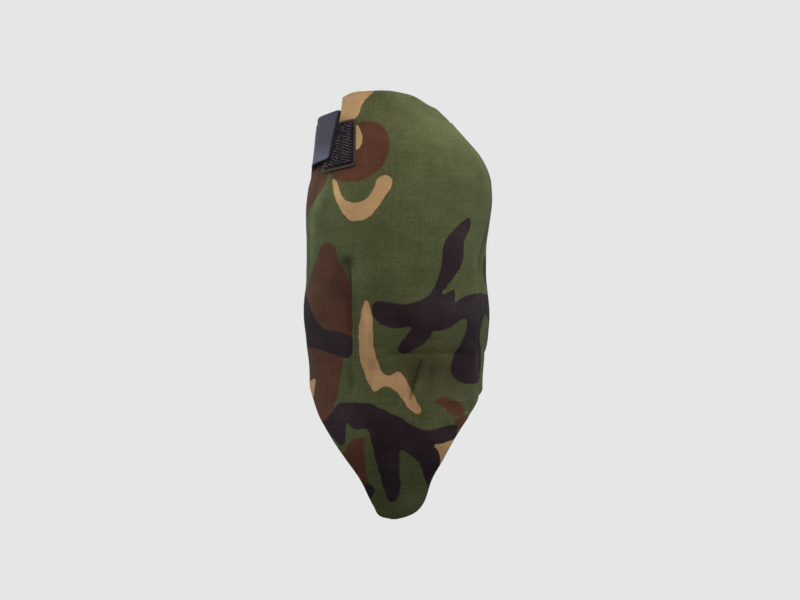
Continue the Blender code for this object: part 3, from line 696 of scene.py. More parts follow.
def tube(path, radii, sides):
    """Round thread along a path (n, 3), with closed ends."""
    count = len(path)
    tangent = np.gradient(path, axis=0)
    tangent /= np.maximum(np.linalg.norm(tangent, axis=1, keepdims=True), 1e-9)
    upright = abs(tangent[0][2]) >= 0.8
    side = np.cross(tangent[0], [1.0, 0.0, 0.0] if upright else [0.0, 0.0, 1.0])
    side /= np.linalg.norm(side)
    verts, faces = [], []
    for i in range(count):
        side = side - tangent[i] * (side @ tangent[i])
        side /= max(np.linalg.norm(side), 1e-9)
        other = np.cross(tangent[i], side)
        for k in range(sides):
            turn = 2 * math.pi * k / sides
            verts.append(path[i] + radii[i] * (math.cos(turn) * side + math.sin(turn) * other))
    for i in range(count - 1):
        at = i * sides
        for k in range(sides):
            k2 = (k + 1) % sides
            faces.append([at + k, at + k2, at + sides + k2, at + sides + k])
    faces.append(list(range(sides - 1, -1, -1)))
    faces.append([(count - 1) * sides + k for k in range(sides)])
    return verts, faces


def tubes(name, paths, radius, material, sides=6, taper=False):
    verts, faces = [], []
    for path in paths:
        path = np.asarray(path, float)
        radii = np.full(len(path), radius)
        if taper:
            t = np.linspace(0, 1, len(path))
            radii = radius * np.clip(np.minimum(t, 1 - t) * 6 + 0.35, 0, 1)
        new_verts, new_faces = tube(path, radii, sides)
        faces += [[i + len(verts) for i in corners] for corners in new_faces]
        verts += new_verts
    return new_object(name, np.array(verts), faces, material)


# ------------------------------------------------------------------- materials
class Net:
    """Short helpers for building a node tree."""

    def __init__(self, tree):
        self.tree = tree

    def node(self, kind, **settings):
        node = self.tree.nodes.new(kind)
        for key, value in settings.items():
            setattr(node, key, value)
        return node

    def put(self, socket, value):
        """Link a socket, or set a number or an RGB colour."""
        if isinstance(value, bpy.types.NodeSocket):
            self.tree.links.new(value, socket)
        else:
            socket.default_value = (*value, 1.0) if isinstance(value, tuple) else value

    def math(self, operation, a, b=0.0, c=0.0):
        node = self.node("ShaderNodeMath", operation=operation)
        for socket, value in zip(node.inputs, (a, b, c)):
            self.put(socket, value)
        return node.outputs[0]

    def times(self, a, b):
        return self.math("MULTIPLY", a, b)

    def plus(self, a, b):
        return self.math("ADD", a, b)

    def scaled(self, value, gain, base):
        return self.math("MULTIPLY_ADD", value, gain, base)

    def attr(self, name):
        return self.node("ShaderNodeAttribute", attribute_name=name).outputs["Fac"]

    def coords(self):
        source = self.node("ShaderNodeTexCoord")
        mapping = self.node("ShaderNodeMapping")
        self.put(mapping.inputs["Vector"], source.outputs["Object"])
        return mapping.outputs[0]

    def noise(self, vector, scale, detail=3.0, rough=0.5):
        node = self.node("ShaderNodeTexNoise")
        self.put(node.inputs["Scale"], scale)
        self.put(node.inputs["Detail"], detail)
        self.put(node.inputs["Roughness"], rough)
        self.put(node.inputs["Vector"], vector)
        return node.outputs["Fac"]

    def mix(self, factor, a, b, mode="MIX"):
        node = self.node("ShaderNodeMix", data_type="RGBA", blend_type=mode)
        for socket, value in ((0, factor), (6, a), (7, b)):
            self.put(node.inputs[socket], value)
        return node.outputs[2]

    def tinted(self, factor, colour, tint):
        return self.mix(factor, colour, self.mix(1.0, colour, tint, "MULTIPLY"))

    def above(self, value, low, high):
        """0 below low, 1 above high, smooth between."""
        node = self.node("ShaderNodeMapRange", interpolation_type="SMOOTHSTEP")
        for socket, number in enumerate((value, low, high)):
            self.put(node.inputs[socket], number)
        return node.outputs[0]

    def below(self, value, low, high):
        return self.math("SUBTRACT", 1.0, self.above(value, low, high))

    def bump(self, height, distance, strength, normal=None):
        node = self.node("ShaderNodeBump")
        self.put(node.inputs["Strength"], strength)
        self.put(node.inputs["Distance"], distance)
        self.put(node.inputs["Height"], height)
        if normal is not None:
            self.put(node.inputs["Normal"], normal)
        return node.outputs[0]


class MaterialNet(Net):
    def __init__(self, name):
        self.material = bpy.data.materials.new(name)
        self.material.use_nodes = True
        super().__init__(self.material.node_tree)
        self.tree.nodes.clear()
        self.output = self.node("ShaderNodeOutputMaterial")
        self.shader = self.node("ShaderNodeBsdfPrincipled")
        self.put(self.output.inputs[0], self.shader.outputs[0])

    def surface(self, inputs):
        for name, value in inputs.items():
            self.put(self.shader.inputs[name], value)
        return self.material


def srgb(*levels):
    """Linear colour from 8-bit sRGB levels."""
    return tuple(v / 12.92 if v <= 0.04045 else ((v + 0.055) / 1.055) ** 2.4
                 for v in (level / 255.0 for level in levels))


def knit_height(net, arc, height, pitch=0.62):
    """Fine jersey knit: columns of small v-shaped stitches, pitch in mm."""
    column = net.times(arc, 2 * math.pi / pitch)
    wale = net.math("ABSOLUTE", net.math("SINE", net.times(column, 0.5)))
    part = net.math("FRACT", net.times(arc, 1.0 / pitch))
    tilt = net.math("ABSOLUTE", net.math("SUBTRACT", part, 0.5))
    slant = net.plus(height, net.times(tilt, pitch * 0.9))
    course = net.math("SINE", net.times(slant, 2 * math.pi / (pitch * 0.8)))
    return net.plus(net.times(wale, 0.6),
                    net.times(net.scaled(course, gain=0.5, base=0.5), 0.4))


# inks on the knit (linear), each with a paler partner
GREEN = ((0.097, 0.108, 0.042), (0.121, 0.132, 0.054))
BROWN = ((0.112, 0.041, 0.022), (0.142, 0.053, 0.029))
TAN = ((0.592, 0.358, 0.168), (0.696, 0.421, 0.204))
BLACK = ((0.032, 0.017, 0.0235), (0.046, 0.026, 0.034))
HALO = (0.150, 0.082, 0.030)            # rusty line round the tan
BLACK_EDGE = 0.45                       # half width of the black ink's soft edge, mm
SHEEN = 0.12
RUBBED = (0.155, 0.170, 0.150)
# tint of the painted shade in the hollows of the folds
SHADE_TINT = (0.13, 0.10, 0.11)
# painted shade in the darts and in the crease under the chin
CREASE_SHADE = (0.008, 0.009, 0.007)
# painted highlight on the ridge of the side dart
RIDGE_HIGHLIGHT = (0.200, 0.225, 0.130)
# tint of the painted light, a little bluer
PAINTED_LIGHT_TINT = (1.95, 1.92, 2.10)
# tint of the painted shade at the throat
THROAT_SHADE_TINT = (1.0, 0.84, 0.92)


def camo_material():
    net = MaterialNet("camo_knit_printed")
    co = net.coords()
    arc, height = net.attr("arc"), net.attr("hgt")
    fibre = net.noise(co, scale=1500.0, detail=2.0, rough=0.6)
    blotch = net.noise(co, scale=38.0, detail=3.0, rough=0.55)
    fine = net.noise(co, scale=420.0, detail=2.0, rough=0.5)
    jitter = net.times(net.math("SUBTRACT", fine, 0.5), 1.0)

    def distance(name):
        return net.plus(net.attr(name), jitter)

    def mask(name, soft_mm=0.35):
        return net.below(distance(name), -soft_mm, soft_mm)

    def ink(pair):
        return net.mix(net.above(blotch, low=0.32, high=0.68), *pair)

    def streak(arc_scale, height_scale):
        strip = net.node("ShaderNodeCombineXYZ")
        net.put(strip.inputs[0], net.times(arc, arc_scale))
        net.put(strip.inputs[1], net.times(height, height_scale))
        return net.noise(strip.outputs[0], scale=1.0, detail=1.0, rough=0.5)

    def line(name, high):
        width = net.math("ABSOLUTE", net.attr(name + "_d"))
        return net.times(net.below(width, 0.15, high), net.attr(name + "_f"))

    colour = net.mix(mask("brown", 1.15), ink(GREEN), ink(BROWN))
    from_rim = net.math("ABSOLUTE", net.math("SUBTRACT", distance("tan"), 0.55))
    halo = net.below(from_rim, low=0.15, high=0.75)
    colour = net.mix(net.times(halo, 0.62), colour, HALO)
    colour = net.mix(mask("tan"), colour, ink(TAN))
    colour = net.mix(mask("black", BLACK_EDGE), colour, ink(BLACK))
    # single threads take the dye a little differently
    knit = knit_height(net, arc, height)
    shade = net.scaled(knit, gain=0.30, base=0.82)
    shade = net.times(shade, net.scaled(fibre, gain=0.50, base=0.75))
    # slubs: some wales and courses are darker over a few centimetres
    wales, courses = streak(0.55, 0.03), streak(0.03, 0.55)
    shade = net.times(shade, net.scaled(wales, gain=0.26, base=0.87))
    shade = net.times(shade, net.scaled(courses, gain=0.34, base=0.83))
    speckle = net.noise(co, scale=560.0, detail=3.0, rough=0.75)
    shade = net.times(shade, net.scaled(speckle, gain=1.15, base=0.425))
    # the tan ink varies less
    calm = net.scaled(mask("tan"), gain=-0.62, base=1.0)
    shade = net.scaled(net.math("SUBTRACT", shade, 0.97), gain=calm, base=0.97)
    shaded = net.node("ShaderNodeHueSaturation")
    net.put(shaded.inputs["Value"], shade)
    net.put(shaded.inputs["Color"], colour)
    # wear: the cut edges and the crowns of the folds are rubbed a little pale
    wear = net.above(net.noise(co, scale=90.0, detail=4.0, rough=0.65), low=0.62, high=0.80)
    rub = net.plus(net.times(net.attr("edge"), 0.35), net.times(wear, 0.05))
    rub = net.plus(rub, net.times(net.attr("crown"), 0.10))
    # painted shade: darker in the hollows of the folds and in the painted shade spots
    painted_shade_amount = net.times(net.attr("painted_shade"), 0.45)
    colour = net.mix(net.math("MINIMUM", rub, 1.0), shaded.outputs[0], RUBBED)
    colour = net.tinted(painted_shade_amount, colour, SHADE_TINT)
    # painted shade: a dark line along the darts and in the crease under the chin
    crease = line("crease", high=0.85)
    colour = net.mix(net.times(crease, 0.72), colour, CREASE_SHADE)
    # painted highlight: a thin pale line along the ridge of the side dart
    ridge = line("ridge", high=0.75)
    colour = net.mix(net.times(ridge, 0.42), colour, RIDGE_HIGHLIGHT)
    # painted light: lighter, slightly bluer patches where the cloth should catch more light
    colour = net.tinted(net.attr("painted_light"), colour, PAINTED_LIGHT_TINT)
    # painted shade: the cloth at the throat is tinted warmer and a little darker, for the colour
    # of the indirect light there
    colour = net.tinted(net.attr("throat_shade"), colour, THROAT_SHADE_TINT)
    material = net.surface({
        "Base Color": colour,
        "Roughness": net.scaled(fine, gain=0.12, base=0.72),
        "Specular IOR Level": 0.16,
        "Sheen Weight": net.scaled(mask("black", BLACK_EDGE), gain=-0.65 * SHEEN, base=SHEEN),
        "Sheen Roughness": 0.34,
        "Sheen Tint": (0.42, 0.72, 0.66),
    })
    normal = net.bump(knit, distance=0.00018, strength=0.7)
    for height, distance_m, strength in (
            (net.noise(co, scale=2200.0, detail=2.0, rough=0.6), 0.00012, 0.45),
            (net.noise(co, scale=70.0, detail=3.0, rough=0.5), 0.0008, 0.20),
            (net.math("SUBTRACT", 1.0, crease), 0.0006, 0.6)):
        normal = net.bump(height, distance_m, strength, normal)
    net.put(net.shader.inputs["Normal"], normal)
    return material


def foam_material():
    net = MaterialNet("neoprene_foam_cut")
    co = net.coords()
    cells = net.node("ShaderNodeTexVoronoi")
    net.put(cells.inputs["Scale"], 2600.0)
    net.put(cells.inputs["Vector"], co)
    patch = net.above(net.noise(co, scale=300.0), low=0.3, high=0.7)
    return net.surface({
        "Base Color": net.mix(patch, srgb(24, 24, 26), srgb(42, 42, 44)),
        "Roughness": 0.82,
        "Specular IOR Level": 0.3,
        "Normal": net.bump(cells.outputs["Distance"], distance=0.0002, strength=0.5),
    })


def lining_material():
    net = MaterialNet("lining_brushed_jersey")
    co = net.coords()
    knit = knit_height(net, net.attr("arc"), net.attr("hgt"), pitch=1.1)
    fuzz = net.noise(co, scale=900.0, detail=4.0, rough=0.7)
    colour = net.mix(net.above(fuzz, low=0.3, high=0.75), srgb(26, 26, 29), srgb(50, 50, 54))
    colour = net.mix(net.times(knit, 0.35), colour, srgb(62, 62, 66))
    knit_normal = net.bump(knit, distance=0.0002, strength=0.6)
    return net.surface({
        "Base Color": colour,
        "Roughness": 0.9,
        "Specular IOR Level": 0.2,
        "Sheen Weight": 0.25,
        "Sheen Roughness": 0.5,
        "Normal": net.bump(fuzz, distance=0.0003, strength=0.5, normal=knit_normal),
    })


def strap_material():
    """Woven back of the loop tape: slate blue, fine cross ribs."""
    net = MaterialNet("strap_slate_weave")
    co = net.coords()
    arc, height = net.attr("arc"), net.attr("hgt")
    warp = net.math("SINE", net.times(arc, 2 * math.pi / 0.75))
    weft = net.math("SINE", net.times(height, 2 * math.pi / 0.55))
    weave = net.scaled(net.times(warp, weft), gain=0.5, base=0.5)
    patch = net.noise(co, scale=70.0, detail=4.0, rough=0.6)
    colour = net.mix(net.above(patch, low=0.30, high=0.72),
                     (0.052, 0.045, 0.072), (0.084, 0.074, 0.112))
    colour = net.mix(net.times(weave, 0.30), colour, (0.132, 0.120, 0.168))
    speck = net.noise(co, scale=900.0, detail=2.0, rough=0.5)
    colour = net.mix(net.above(speck, low=0.52, high=0.75), colour, (0.045, 0.045, 0.062))
    # painted light and shade: the strap is made lighter and bluer towards its bottom, where its
    # bend is in shade, and a little darker at its top
    colour = net.mix(net.above(height, low=-20.0, high=-2.0),
                     net.mix(1.0, colour, (1.75, 2.00, 2.15), "MULTIPLY"),
                     net.mix(1.0, colour, (0.86, 0.80, 0.84), "MULTIPLY"))
    return net.surface({
        "Base Color": net.mix(net.times(net.attr("edge"), 0.75), colour, (0.012, 0.012, 0.016)),
        "Roughness": net.scaled(patch, gain=0.15, base=0.55),
        "Specular IOR Level": 0.3,
        "Sheen Weight": 0.10,
        "Normal": net.bump(weave, distance=0.00016, strength=0.8),
    })


def pile_material():
    net = MaterialNet("loop_pile_black")
    fuzz = net.noise(net.coords(), scale=1300.0, detail=5.0, rough=0.75)
    return net.surface({
        "Base Color": net.mix(net.above(fuzz, low=0.35, high=0.75),
                              (0.006, 0.006, 0.009), (0.030, 0.026, 0.036)),
        "Roughness": 0.95,
        "Sheen Weight": 0.15,
        "Sheen Roughness": 0.4,
        "Normal": net.bump(fuzz, distance=0.0006, strength=1.0),
    })


def hook_ground_material():
    """Ground of the hook tape: near black, with a paler woven selvedge."""
    net = MaterialNet("hook_tape_ground")
    co = net.coords()
    slant = net.plus(net.attr("arc"), net.attr("hgt"))
    rib = net.scaled(net.math("SINE", net.times(slant, 2 * math.pi / 0.7)), gain=0.5, base=0.5)
    patch = net.noise(co, scale=300.0, detail=3.0, rough=0.6)
    ground = net.mix(patch, (0.0010, 0.0008, 0.0015), (0.0035, 0.002, 0.004))
    border = net.mix(net.times(patch, rib), (0.042, 0.026, 0.026), (0.135, 0.092, 0.085))
    return net.surface({
        "Base Color": net.mix(net.above(net.attr("edge"), low=0.30, high=0.62), ground, border),
        "Roughness": net.scaled(patch, gain=0.2, base=0.55),
        "Specular IOR Level": 0.3,
        "Normal": net.bump(rib, distance=0.00012, strength=0.7),
    })


def hook_wire_material():
    net = MaterialNet("hook_tape_hooks")
    co = net.coords()
    patch = net.noise(co, scale=260.0, detail=2.0, rough=0.5)
    return net.surface({
        "Base Color": net.mix(net.above(patch, low=0.35, high=0.68),
                              (0.130, 0.082, 0.112), (0.330, 0.225, 0.290)),
        "Roughness": net.scaled(patch, gain=0.2, base=0.28),
        "Specular IOR Level": 0.6,
        "Normal": net.bump(net.noise(co, scale=3000.0, detail=2.0, rough=0.5),
                           distance=0.00005, strength=0.3),
    })


def thread_material(name, colour):
    net = MaterialNet(name)
    co = net.coords()
    twist = net.node("ShaderNodeTexWave", wave_type="BANDS", bands_direction="DIAGONAL")
    net.put(twist.inputs["Scale"], 900.0)
    net.put(twist.inputs["Distortion"], 1.5)
    net.put(twist.inputs["Vector"], co)
    strand = twist.outputs["Fac"]
    return net.surface({
        "Base Color": net.mix(strand, tuple(level * 0.6 for level in colour), colour),
        "Roughness": 0.55,
        "Normal": net.bump(strand, distance=0.0001, strength=0.5),
    })


CAMO = camo_material()
FOAM = foam_material()
LINING = lining_material()
STRAP = strap_material()
PILE = pile_material()
HOOK_GROUND = hook_ground_material()
HOOK_WIRE = hook_wire_material()
THREAD_IN = thread_material("thread_black", (0.035, 0.035, 0.040))
THREAD_PAD = thread_material("thread_pad_border", (0.012, 0.009, 0.013))


# ----------------------------------------------------------------------- cloth
def even_cells(mm):
    """Even count of cells, so that every second line is still on the rim."""
    count = int(round(mm / STEP))
    return count + count % 2


def cloth_grid(low_angle, high_angle, low_edge, cols, rows):
    """Plan angles and heights between two side bounds and two hems."""
    v = np.linspace(0, 1, rows + 1)

    def solve(bound):
        z = np.full(v.shape, 200.0)
        for _ in range(60):
            angle = bound(z)
            low = low_edge(angle)
            z = 0.5 * z + 0.5 * (low + v * (top_edge(angle) - low))
        return bound(z)

    start, end = solve(low_angle), solve(high_angle)
    u = np.linspace(0, 1, cols + 1)[None, :]
    angle = start[:, None] + (end - start)[:, None] * u
    low = low_edge(angle)
    return angle, low + v[:, None] * (top_edge(angle) - low)


def edge_waves(angle, z, top, low):
    """A cut edge of neoprene is never dead straight: it lifts a little."""
    upper = np.exp(-(top - z) / 7.0) * 0.35 * np.sin(angle * 0.19 + 0.4)
    lower = np.exp(-(z - low) / 6.0) * 0.3 * np.sin(angle * 0.23 + 2.0)
    return upper + lower * np.clip((low - JOIN_Z) / 4.0, 0, 1)


def neighbours(grid, offsets):
    """Copies of a grid moved by each pair of offsets."""
    reach = max(offsets)
    rows, cols = grid.shape
    wide = np.pad(grid, reach, mode="edge")
    return np.stack([wide[reach + a:reach + a + rows, reach + b:reach + b + cols]
                     for a in offsets for b in offsets])


def cover_attributes(angle, z, moves, edge):
    flat = unwrap(angle, z)
    # local height against the neighbourhood: crowns and hollows of the folds
    mean = neighbours(moves, (-5, 0, 5)).mean(0)
    # painted shade: darker where the cloth lies below its neighbourhood, plus the painted shade
    # spots
    painted_shade = np.clip((mean - moves) * 1.3, 0, 1) + painted_spots(flat, PAINTED_SHADE_SPOTS)
    crease_distance, crease_strength = crease_fields(flat)
    ridge_distance, ridge_run = line_distance(flat, RIDGE_HIGHLIGHT_LINE)
    return dict(
        print_fields(flat.reshape(-1, 2)),
        arc=angle * MM_PER_DEGREE, hgt=z, edge=edge,
        crown=np.clip((moves - mean) * 1.6, 0, 1),
        painted_shade=np.clip(painted_shade, 0, 1),
        # painted light spots
        painted_light=np.clip(painted_spots(flat, PAINTED_LIGHT_SPOTS), 0, 1),
        # painted shade at the throat
        throat_shade=np.exp(-((angle - 36.0) / 34.0) ** 4) * bell(z - 122.0, 26.0),
        crease_d=crease_distance, crease_f=crease_strength,
        ridge_d=np.clip(ridge_distance, -FIELD_REACH, FIELD_REACH),
        ridge_f=end_fade(ridge_run, 0.12, 0.2))


def cloth(prefix, angle, z, low_edge=None, join_row=None):
    """Cover, core and lining of one stretch; without low_edge it has no hems."""
    moves = relief(angle, z)
    waves, edge = np.zeros(angle.shape), np.zeros(angle.shape)
    if low_edge is not None:
        top = top_edge(angle)
        waves = edge_waves(angle, z, top, low_edge(angle))
        edge = np.exp(-(top - z) / 1.1)
    plain, normals = base(angle, z), base_normal(angle, z)
    lift = moves + waves
    cover = plain + lift[..., None] * normals
    cover_normals = surface_normal(face, angle, z, angle_step=0.7, z_step=0.7)
    attrs = cover_attributes(angle, z, moves, edge)
    # the plies below take the lowest relief nearby, so that they stay under the cover
    low = neighbours(lift, range(-2, 3)).min(0)
    under = (plain + low[..., None] * normals)[::2, ::2]
    under_normals = normals[::2, ::2]
    under_attrs = {"arc": angle[::2, ::2] * MM_PER_DEGREE, "hgt": z[::2, ::2]}
    core_end = COVER_T + CORE_T
    return [
        sheet(prefix + "_cover", cover, cover_normals, 0.0, COVER_T,
              CAMO, attrs, edge_round=0.22, join_row=join_row),
        sheet(prefix + "_core", under, under_normals, COVER_T + PLY_GAP, core_end,
              FOAM, under_attrs, edge_round=0.1, join_row=join_row),
        sheet(prefix + "_lining", under, under_normals, core_end + PLY_GAP, CLOTH_T,
              LINING, under_attrs, edge_round=0.18, join_row=join_row)]


def bib_grid():
    """Rows at heights between the bib's side edges, from its tip to the join."""
    z = np.concatenate([[5.25, 5.9, 6.8, 8.0, 9.4], np.linspace(11.0, JOIN_Z, even_cells(86))])
    start = angle_at_x(hermite(BIB_EDGES, z, 1), z)
    end = angle_at_x(hermite(BIB_EDGES, z, 2), z)
    # above the fold the edges run on to the ends of the join
    t = np.clip((z - 80.0) / 5.0, 0, 1)
    upper_start = np.interp(z, (80.0, BIB_FOLD_Z, 88.8, JOIN_Z), (-55.0, -57.3, -61.8, JOIN_A))
    upper_end = np.interp(z, (80.0, BIB_FOLD_Z, 87.4, 95.3, JOIN_Z),
                          (47.0, 50.2, 53.6, 65.0, JOIN_B))
    start = start * (1 - t) + upper_start * t
    end = end * (1 - t) + upper_end * t
    cols = even_cells(118)
    angle = start[:, None] + (end - start)[:, None] * np.linspace(0, 1, cols + 1)[None, :]
    return angle, np.repeat(z[:, None], cols + 1, 1)


right = cloth("right_half", *cloth_grid(rear_edge, lambda z: NOSE - 0.05 + 0 * z, right_low_edge,
                                        even_cells(200), even_cells(238)),
              low_edge=right_low_edge, join_row=0)
left = cloth("left_half", *cloth_grid(lambda z: NOSE + 0.05 + 0 * z, left_rear_edge,
                                      left_low_edge, even_cells(258), even_cells(216)),
             low_edge=left_low_edge)
bib = cloth("bib", *bib_grid(), join_row=-1)


# ---------------------------------------------------------------- frame bodies
def placed(point):
    """Point in the frame, in metres."""
    return tuple((np.asarray(point, float) + SHIFT) * MM)


def mount(plies, parts):
    """Hides the frame's plies of the given parts, which these plies stand in for, and bakes their
    placement.
    """
    for ob, ply, slot in zip(plies, ("cover", "core", "lining"),
                             ("camo_knit", "neoprene_foam", "lining_jersey")):
        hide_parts(*(part + "_" + ply for part in parts))
        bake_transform(ob)


def fit(ob, body, node=None):
    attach(ob, body)
    if node:
        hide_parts(node)


mount(right, ("face_right", "wing_right"))
mount(left, ("face_left", "wing_left"))
mount(bib, ("bib",))


# ------------------------------------------------------------------- hook tape
def unit_grid(cols, rows):
    """u and v from 0 to 1; u runs backwards, so that the faces look outward."""
    return np.meshgrid(np.linspace(0, 1, cols + 1)[::-1], np.linspace(0, 1, rows + 1))


def corner_cut(height, half_height, radius):
    """How much a rounded corner shortens the tape at a height off its middle."""
    over = np.clip(np.abs(height) - (half_height - radius), 0, radius)
    return radius - np.sqrt(np.maximum(radius ** 2 - over ** 2, 0.0))


def pad_at(u, v):
    z = 279.2 + v * 36.8 - u * PAD_LEN * 0.15
    return along(angle_at_x(-33.2 + 0 * z, z), z, -u * PAD_LEN * (1.0 - 0.10 * v)), z


def field_at(u, v):
    return pad_at(0.08 + 0.86 * u, 0.085 + 0.86 * v)


def lifted(angle, z, lift):
    """Points above the plain face; small relief is bridged, as stiff tape does."""
    return base(angle, z) + np.asarray(lift)[..., None] * base_normal(angle, z)


def tape(name, at, length, height, corner, cols, rows, lift, thick, edge_round, bordered):
    """Piece of hook tape with rounded corners."""
    u, v = unit_grid(cols, rows)
    cut = corner_cut((v - 0.5) * height, height / 2, corner) / length
    angle, z = at(cut + u * (1 - 2 * cut), v)
    points = lifted(angle, z, lift(u, v))
    edge = 0 * u
    if bordered:
        edge = np.maximum(np.exp(-np.minimum(u, 1 - u) * 14), np.exp(-np.minimum(v, 1 - v) * 17))
    attrs = {"arc": u * PAD_LEN, "hgt": v * TAPE_H, "edge": edge}
    return sheet(name, points, grid_normals(points), 0.0, thick, HOOK_GROUND, attrs, edge_round)


ground = tape("hook_tape_ground", pad_at, PAD_LEN, TAPE_H, corner=2.6, cols=44, rows=50,
              lift=lambda u, v: 1.05 + 0.10 * np.sin(u * 9 + v * 4),
              thick=0.85, edge_round=0.3, bordered=True)
fit(ground, "face", "hook_tape_base")

# rows of hooks stand in wavy ribs on a raised field
FIELD_L, FIELD_H = PAD_LEN * 0.86, TAPE_H * 0.86
RIBS, HOOKS_PER_RIB = 14, 24
WAVE, WAVE_HEIGHT = 5.4, 0.95
HOOK_STEP = 0.02        # small step in u that gives a hook its direction


def rib_wave(u):
    return WAVE_HEIGHT / FIELD_H * np.sin(2 * math.pi * u * FIELD_L / WAVE)


field = tape("hook_tape_field", field_at, FIELD_L, FIELD_H, corner=1.6, cols=84, rows=138,
             lift=lambda u, v: 1.25 + 0.34 * np.cos(2 * math.pi * RIBS * (v - rib_wave(u))),
             thick=0.5, edge_round=0.15, bordered=False)
fit(field, "face", "hook_field")


def hook_path(u, v, sense):
    """Bent wire leaning along its rib; sense is 1 or -1."""
    angle, z = field_at(np.array(u), np.array(v))
    slope = (FIELD_L / FIELD_H * WAVE_HEIGHT * 2 * math.pi / WAVE
             * math.cos(2 * math.pi * u * FIELD_L / WAVE))
    ahead = field_at(np.array(u + HOOK_STEP), np.array(v + HOOK_STEP * slope))
    normal = base_normal(angle, z)
    lean = base(*ahead) - base(angle, z)
    lean = lean / np.linalg.norm(lean) * sense
    root = base(angle, z) + 1.3 * normal
    path = []
    for turn in np.linspace(0, 1, 8) * math.pi * 1.15:
        rise = math.sin(turn) if turn < math.pi / 2 else 0.70 + 0.30 * math.sin(turn)
        path.append(root + normal * rise + lean * (0.46 * (1 - math.cos(turn)) - 0.4))
    return path


hooks = []
for i in range(RIBS):
    for j in range(HOOKS_PER_RIB):
        u = (j + (0.5 if i % 2 else 0.0) + 0.3) / HOOKS_PER_RIB + RNG.uniform(-0.008, 0.008)
        v = (i + 0.02) / RIBS + rib_wave(u) + RNG.uniform(-0.003, 0.003)
        if 0.015 < u < 0.985 and 0.012 < v < 0.988:
            hooks.append(hook_path(u, v, 1 if (i + j) % 2 else -1))
fit(tubes("hook_tape_hooks", hooks, 0.215, HOOK_WIRE, sides=5), "face")


def border_runs(u0, u1, v0, v1):
    corners = [(u0, v0), (u1, v0), (u1, v1), (u0, v1)]
    return list(zip(corners, corners[1:] + corners[:1]))


def stitches(name, at, surface, lift, runs, length, radius, material):
    """Separate stitches, 2.7 mm apart, along straight runs on a tape."""
    paths = []
    arch = np.sin(np.linspace(0, math.pi, 6)) ** 0.6
    for (u0, v0), (u1, v1) in runs:
        run = math.hypot((u1 - u0) * length, (v1 - v0) * TAPE_H)
        count = max(1, int(round(run / 2.7)))
        for k in range(count):
            t = np.linspace((k + 0.10) / count, (k + 0.90) / count, 6)
            u, v = u0 + (u1 - u0) * t, v0 + (v1 - v0) * t
            paths.append(surface(*at(u, v), lift(u) - 0.12 + 0.3 * arch))
    return tubes(name, paths, radius, material, taper=True)


fit(stitches("hook_tape_border_stitches", pad_at, lifted, lambda u: 1.12 + 0 * u,
             border_runs(0.055, 0.945, 0.062, 0.938), PAD_LEN, 0.19, THREAD_PAD),
    "face", "hook_tape_stitch")


# ----------------------------------------------------------------------- strap
def strap_at(run, height):
    """Place on the face of a point of the strap, run mm from its free end."""
    sin, cos = math.sin(STRAP_TILT), math.cos(STRAP_TILT)
    z = STRAP_Z - run * sin + height * cos
    return along(np.full(np.shape(z), STRAP_ANGLE), z, -run * cos + height * sin), z


def strap_lift(run):
    return 3.1 * (1 - smoothstep((run - 12.0) / 24.0)) + 0.3 + 1.7 * bell(run - 21.0, 8.0)


def strap_surface(angle, z, lift):
    """Over the pad the strap lies on it; further back it is straighter."""
    points = base(angle, strap_flat(z))
    points[..., 2] = z
    return points + np.asarray(lift)[..., None] * base_normal(angle, strap_flat(z))


def strap_piece(name, start, end, low, high, material, node, edge_round, cols, rows,
                corner=0.0):
    """Layer of the strap from start to end, between two heights over its underside."""
    u, v = unit_grid(cols, rows)
    height = (v - 0.5) * TAPE_H
    cut = corner_cut(height, TAPE_H / 2, corner)
    run = start + cut * (1 - u) + (end - start) * u
    angle, z = strap_at(run, height)
    # a slight roll of the tape's long edges and an uneven free end
    curl = 0.2 * (np.abs(v - 0.5) * 2) ** 6 + 0.2 * np.sin(v * 5.0) * np.exp(-np.abs(run) / 5.0)
    points = strap_surface(angle, z, strap_lift(run) + high + curl)
    edge = np.exp(-(TAPE_H / 2 - np.abs(height)) / 0.6)
    if start < 5:
        edge = np.maximum(edge, np.exp(-np.abs(run - start) / 0.7))
    attrs = {"arc": run, "hgt": height, "edge": edge}
    ob = sheet(name, points, grid_normals(points), 0.0, high - low, material, attrs, edge_round)
    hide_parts(node)
    return ob


def pile_loops():
    """Loose loops of the pile stand out round its edge."""
    # run, height, and the outward direction in both
    rim = ([(-0.75, height, -1.0, 0.0) for height in np.linspace(-17.5, 17.5, 74)]
           + [(run, -18.9, 0.0, -1.0) for run in np.linspace(0.5, 36.0, 62)]
           + [(run, 18.9, 0.0, 1.0) for run in np.linspace(0.5, 36.0, 62)])
    turn = np.linspace(-0.2, 1.2, 8) * math.pi
    paths = []
    for run, height, run_out, height_out in rim:
        run = run + RNG.uniform(-0.2, 0.2)
        height = height + RNG.uniform(-0.2, 0.2)
        radius = RNG.uniform(0.35, 0.62)
        twist = RNG.uniform(-0.5, 0.5)
        lift = strap_lift(run) + RNG.uniform(0.35, 0.95)
        out, side = radius * np.sin(turn), radius * 0.7 * np.cos(turn)
        place = strap_at(run + run_out * out + (side if run_out == 0 else 0.0),
                         height + height_out * out + (side if run_out != 0 else 0.0))
        paths.append(strap_surface(*place, lift + twist * out))
    return tubes("strap_pile_loops", paths, 0.10, PILE, sides=4)


def sewn_at(u, v):
    return strap_at(SEWN_START + SEWN_LEN * u, (v - 0.5) * TAPE_H)


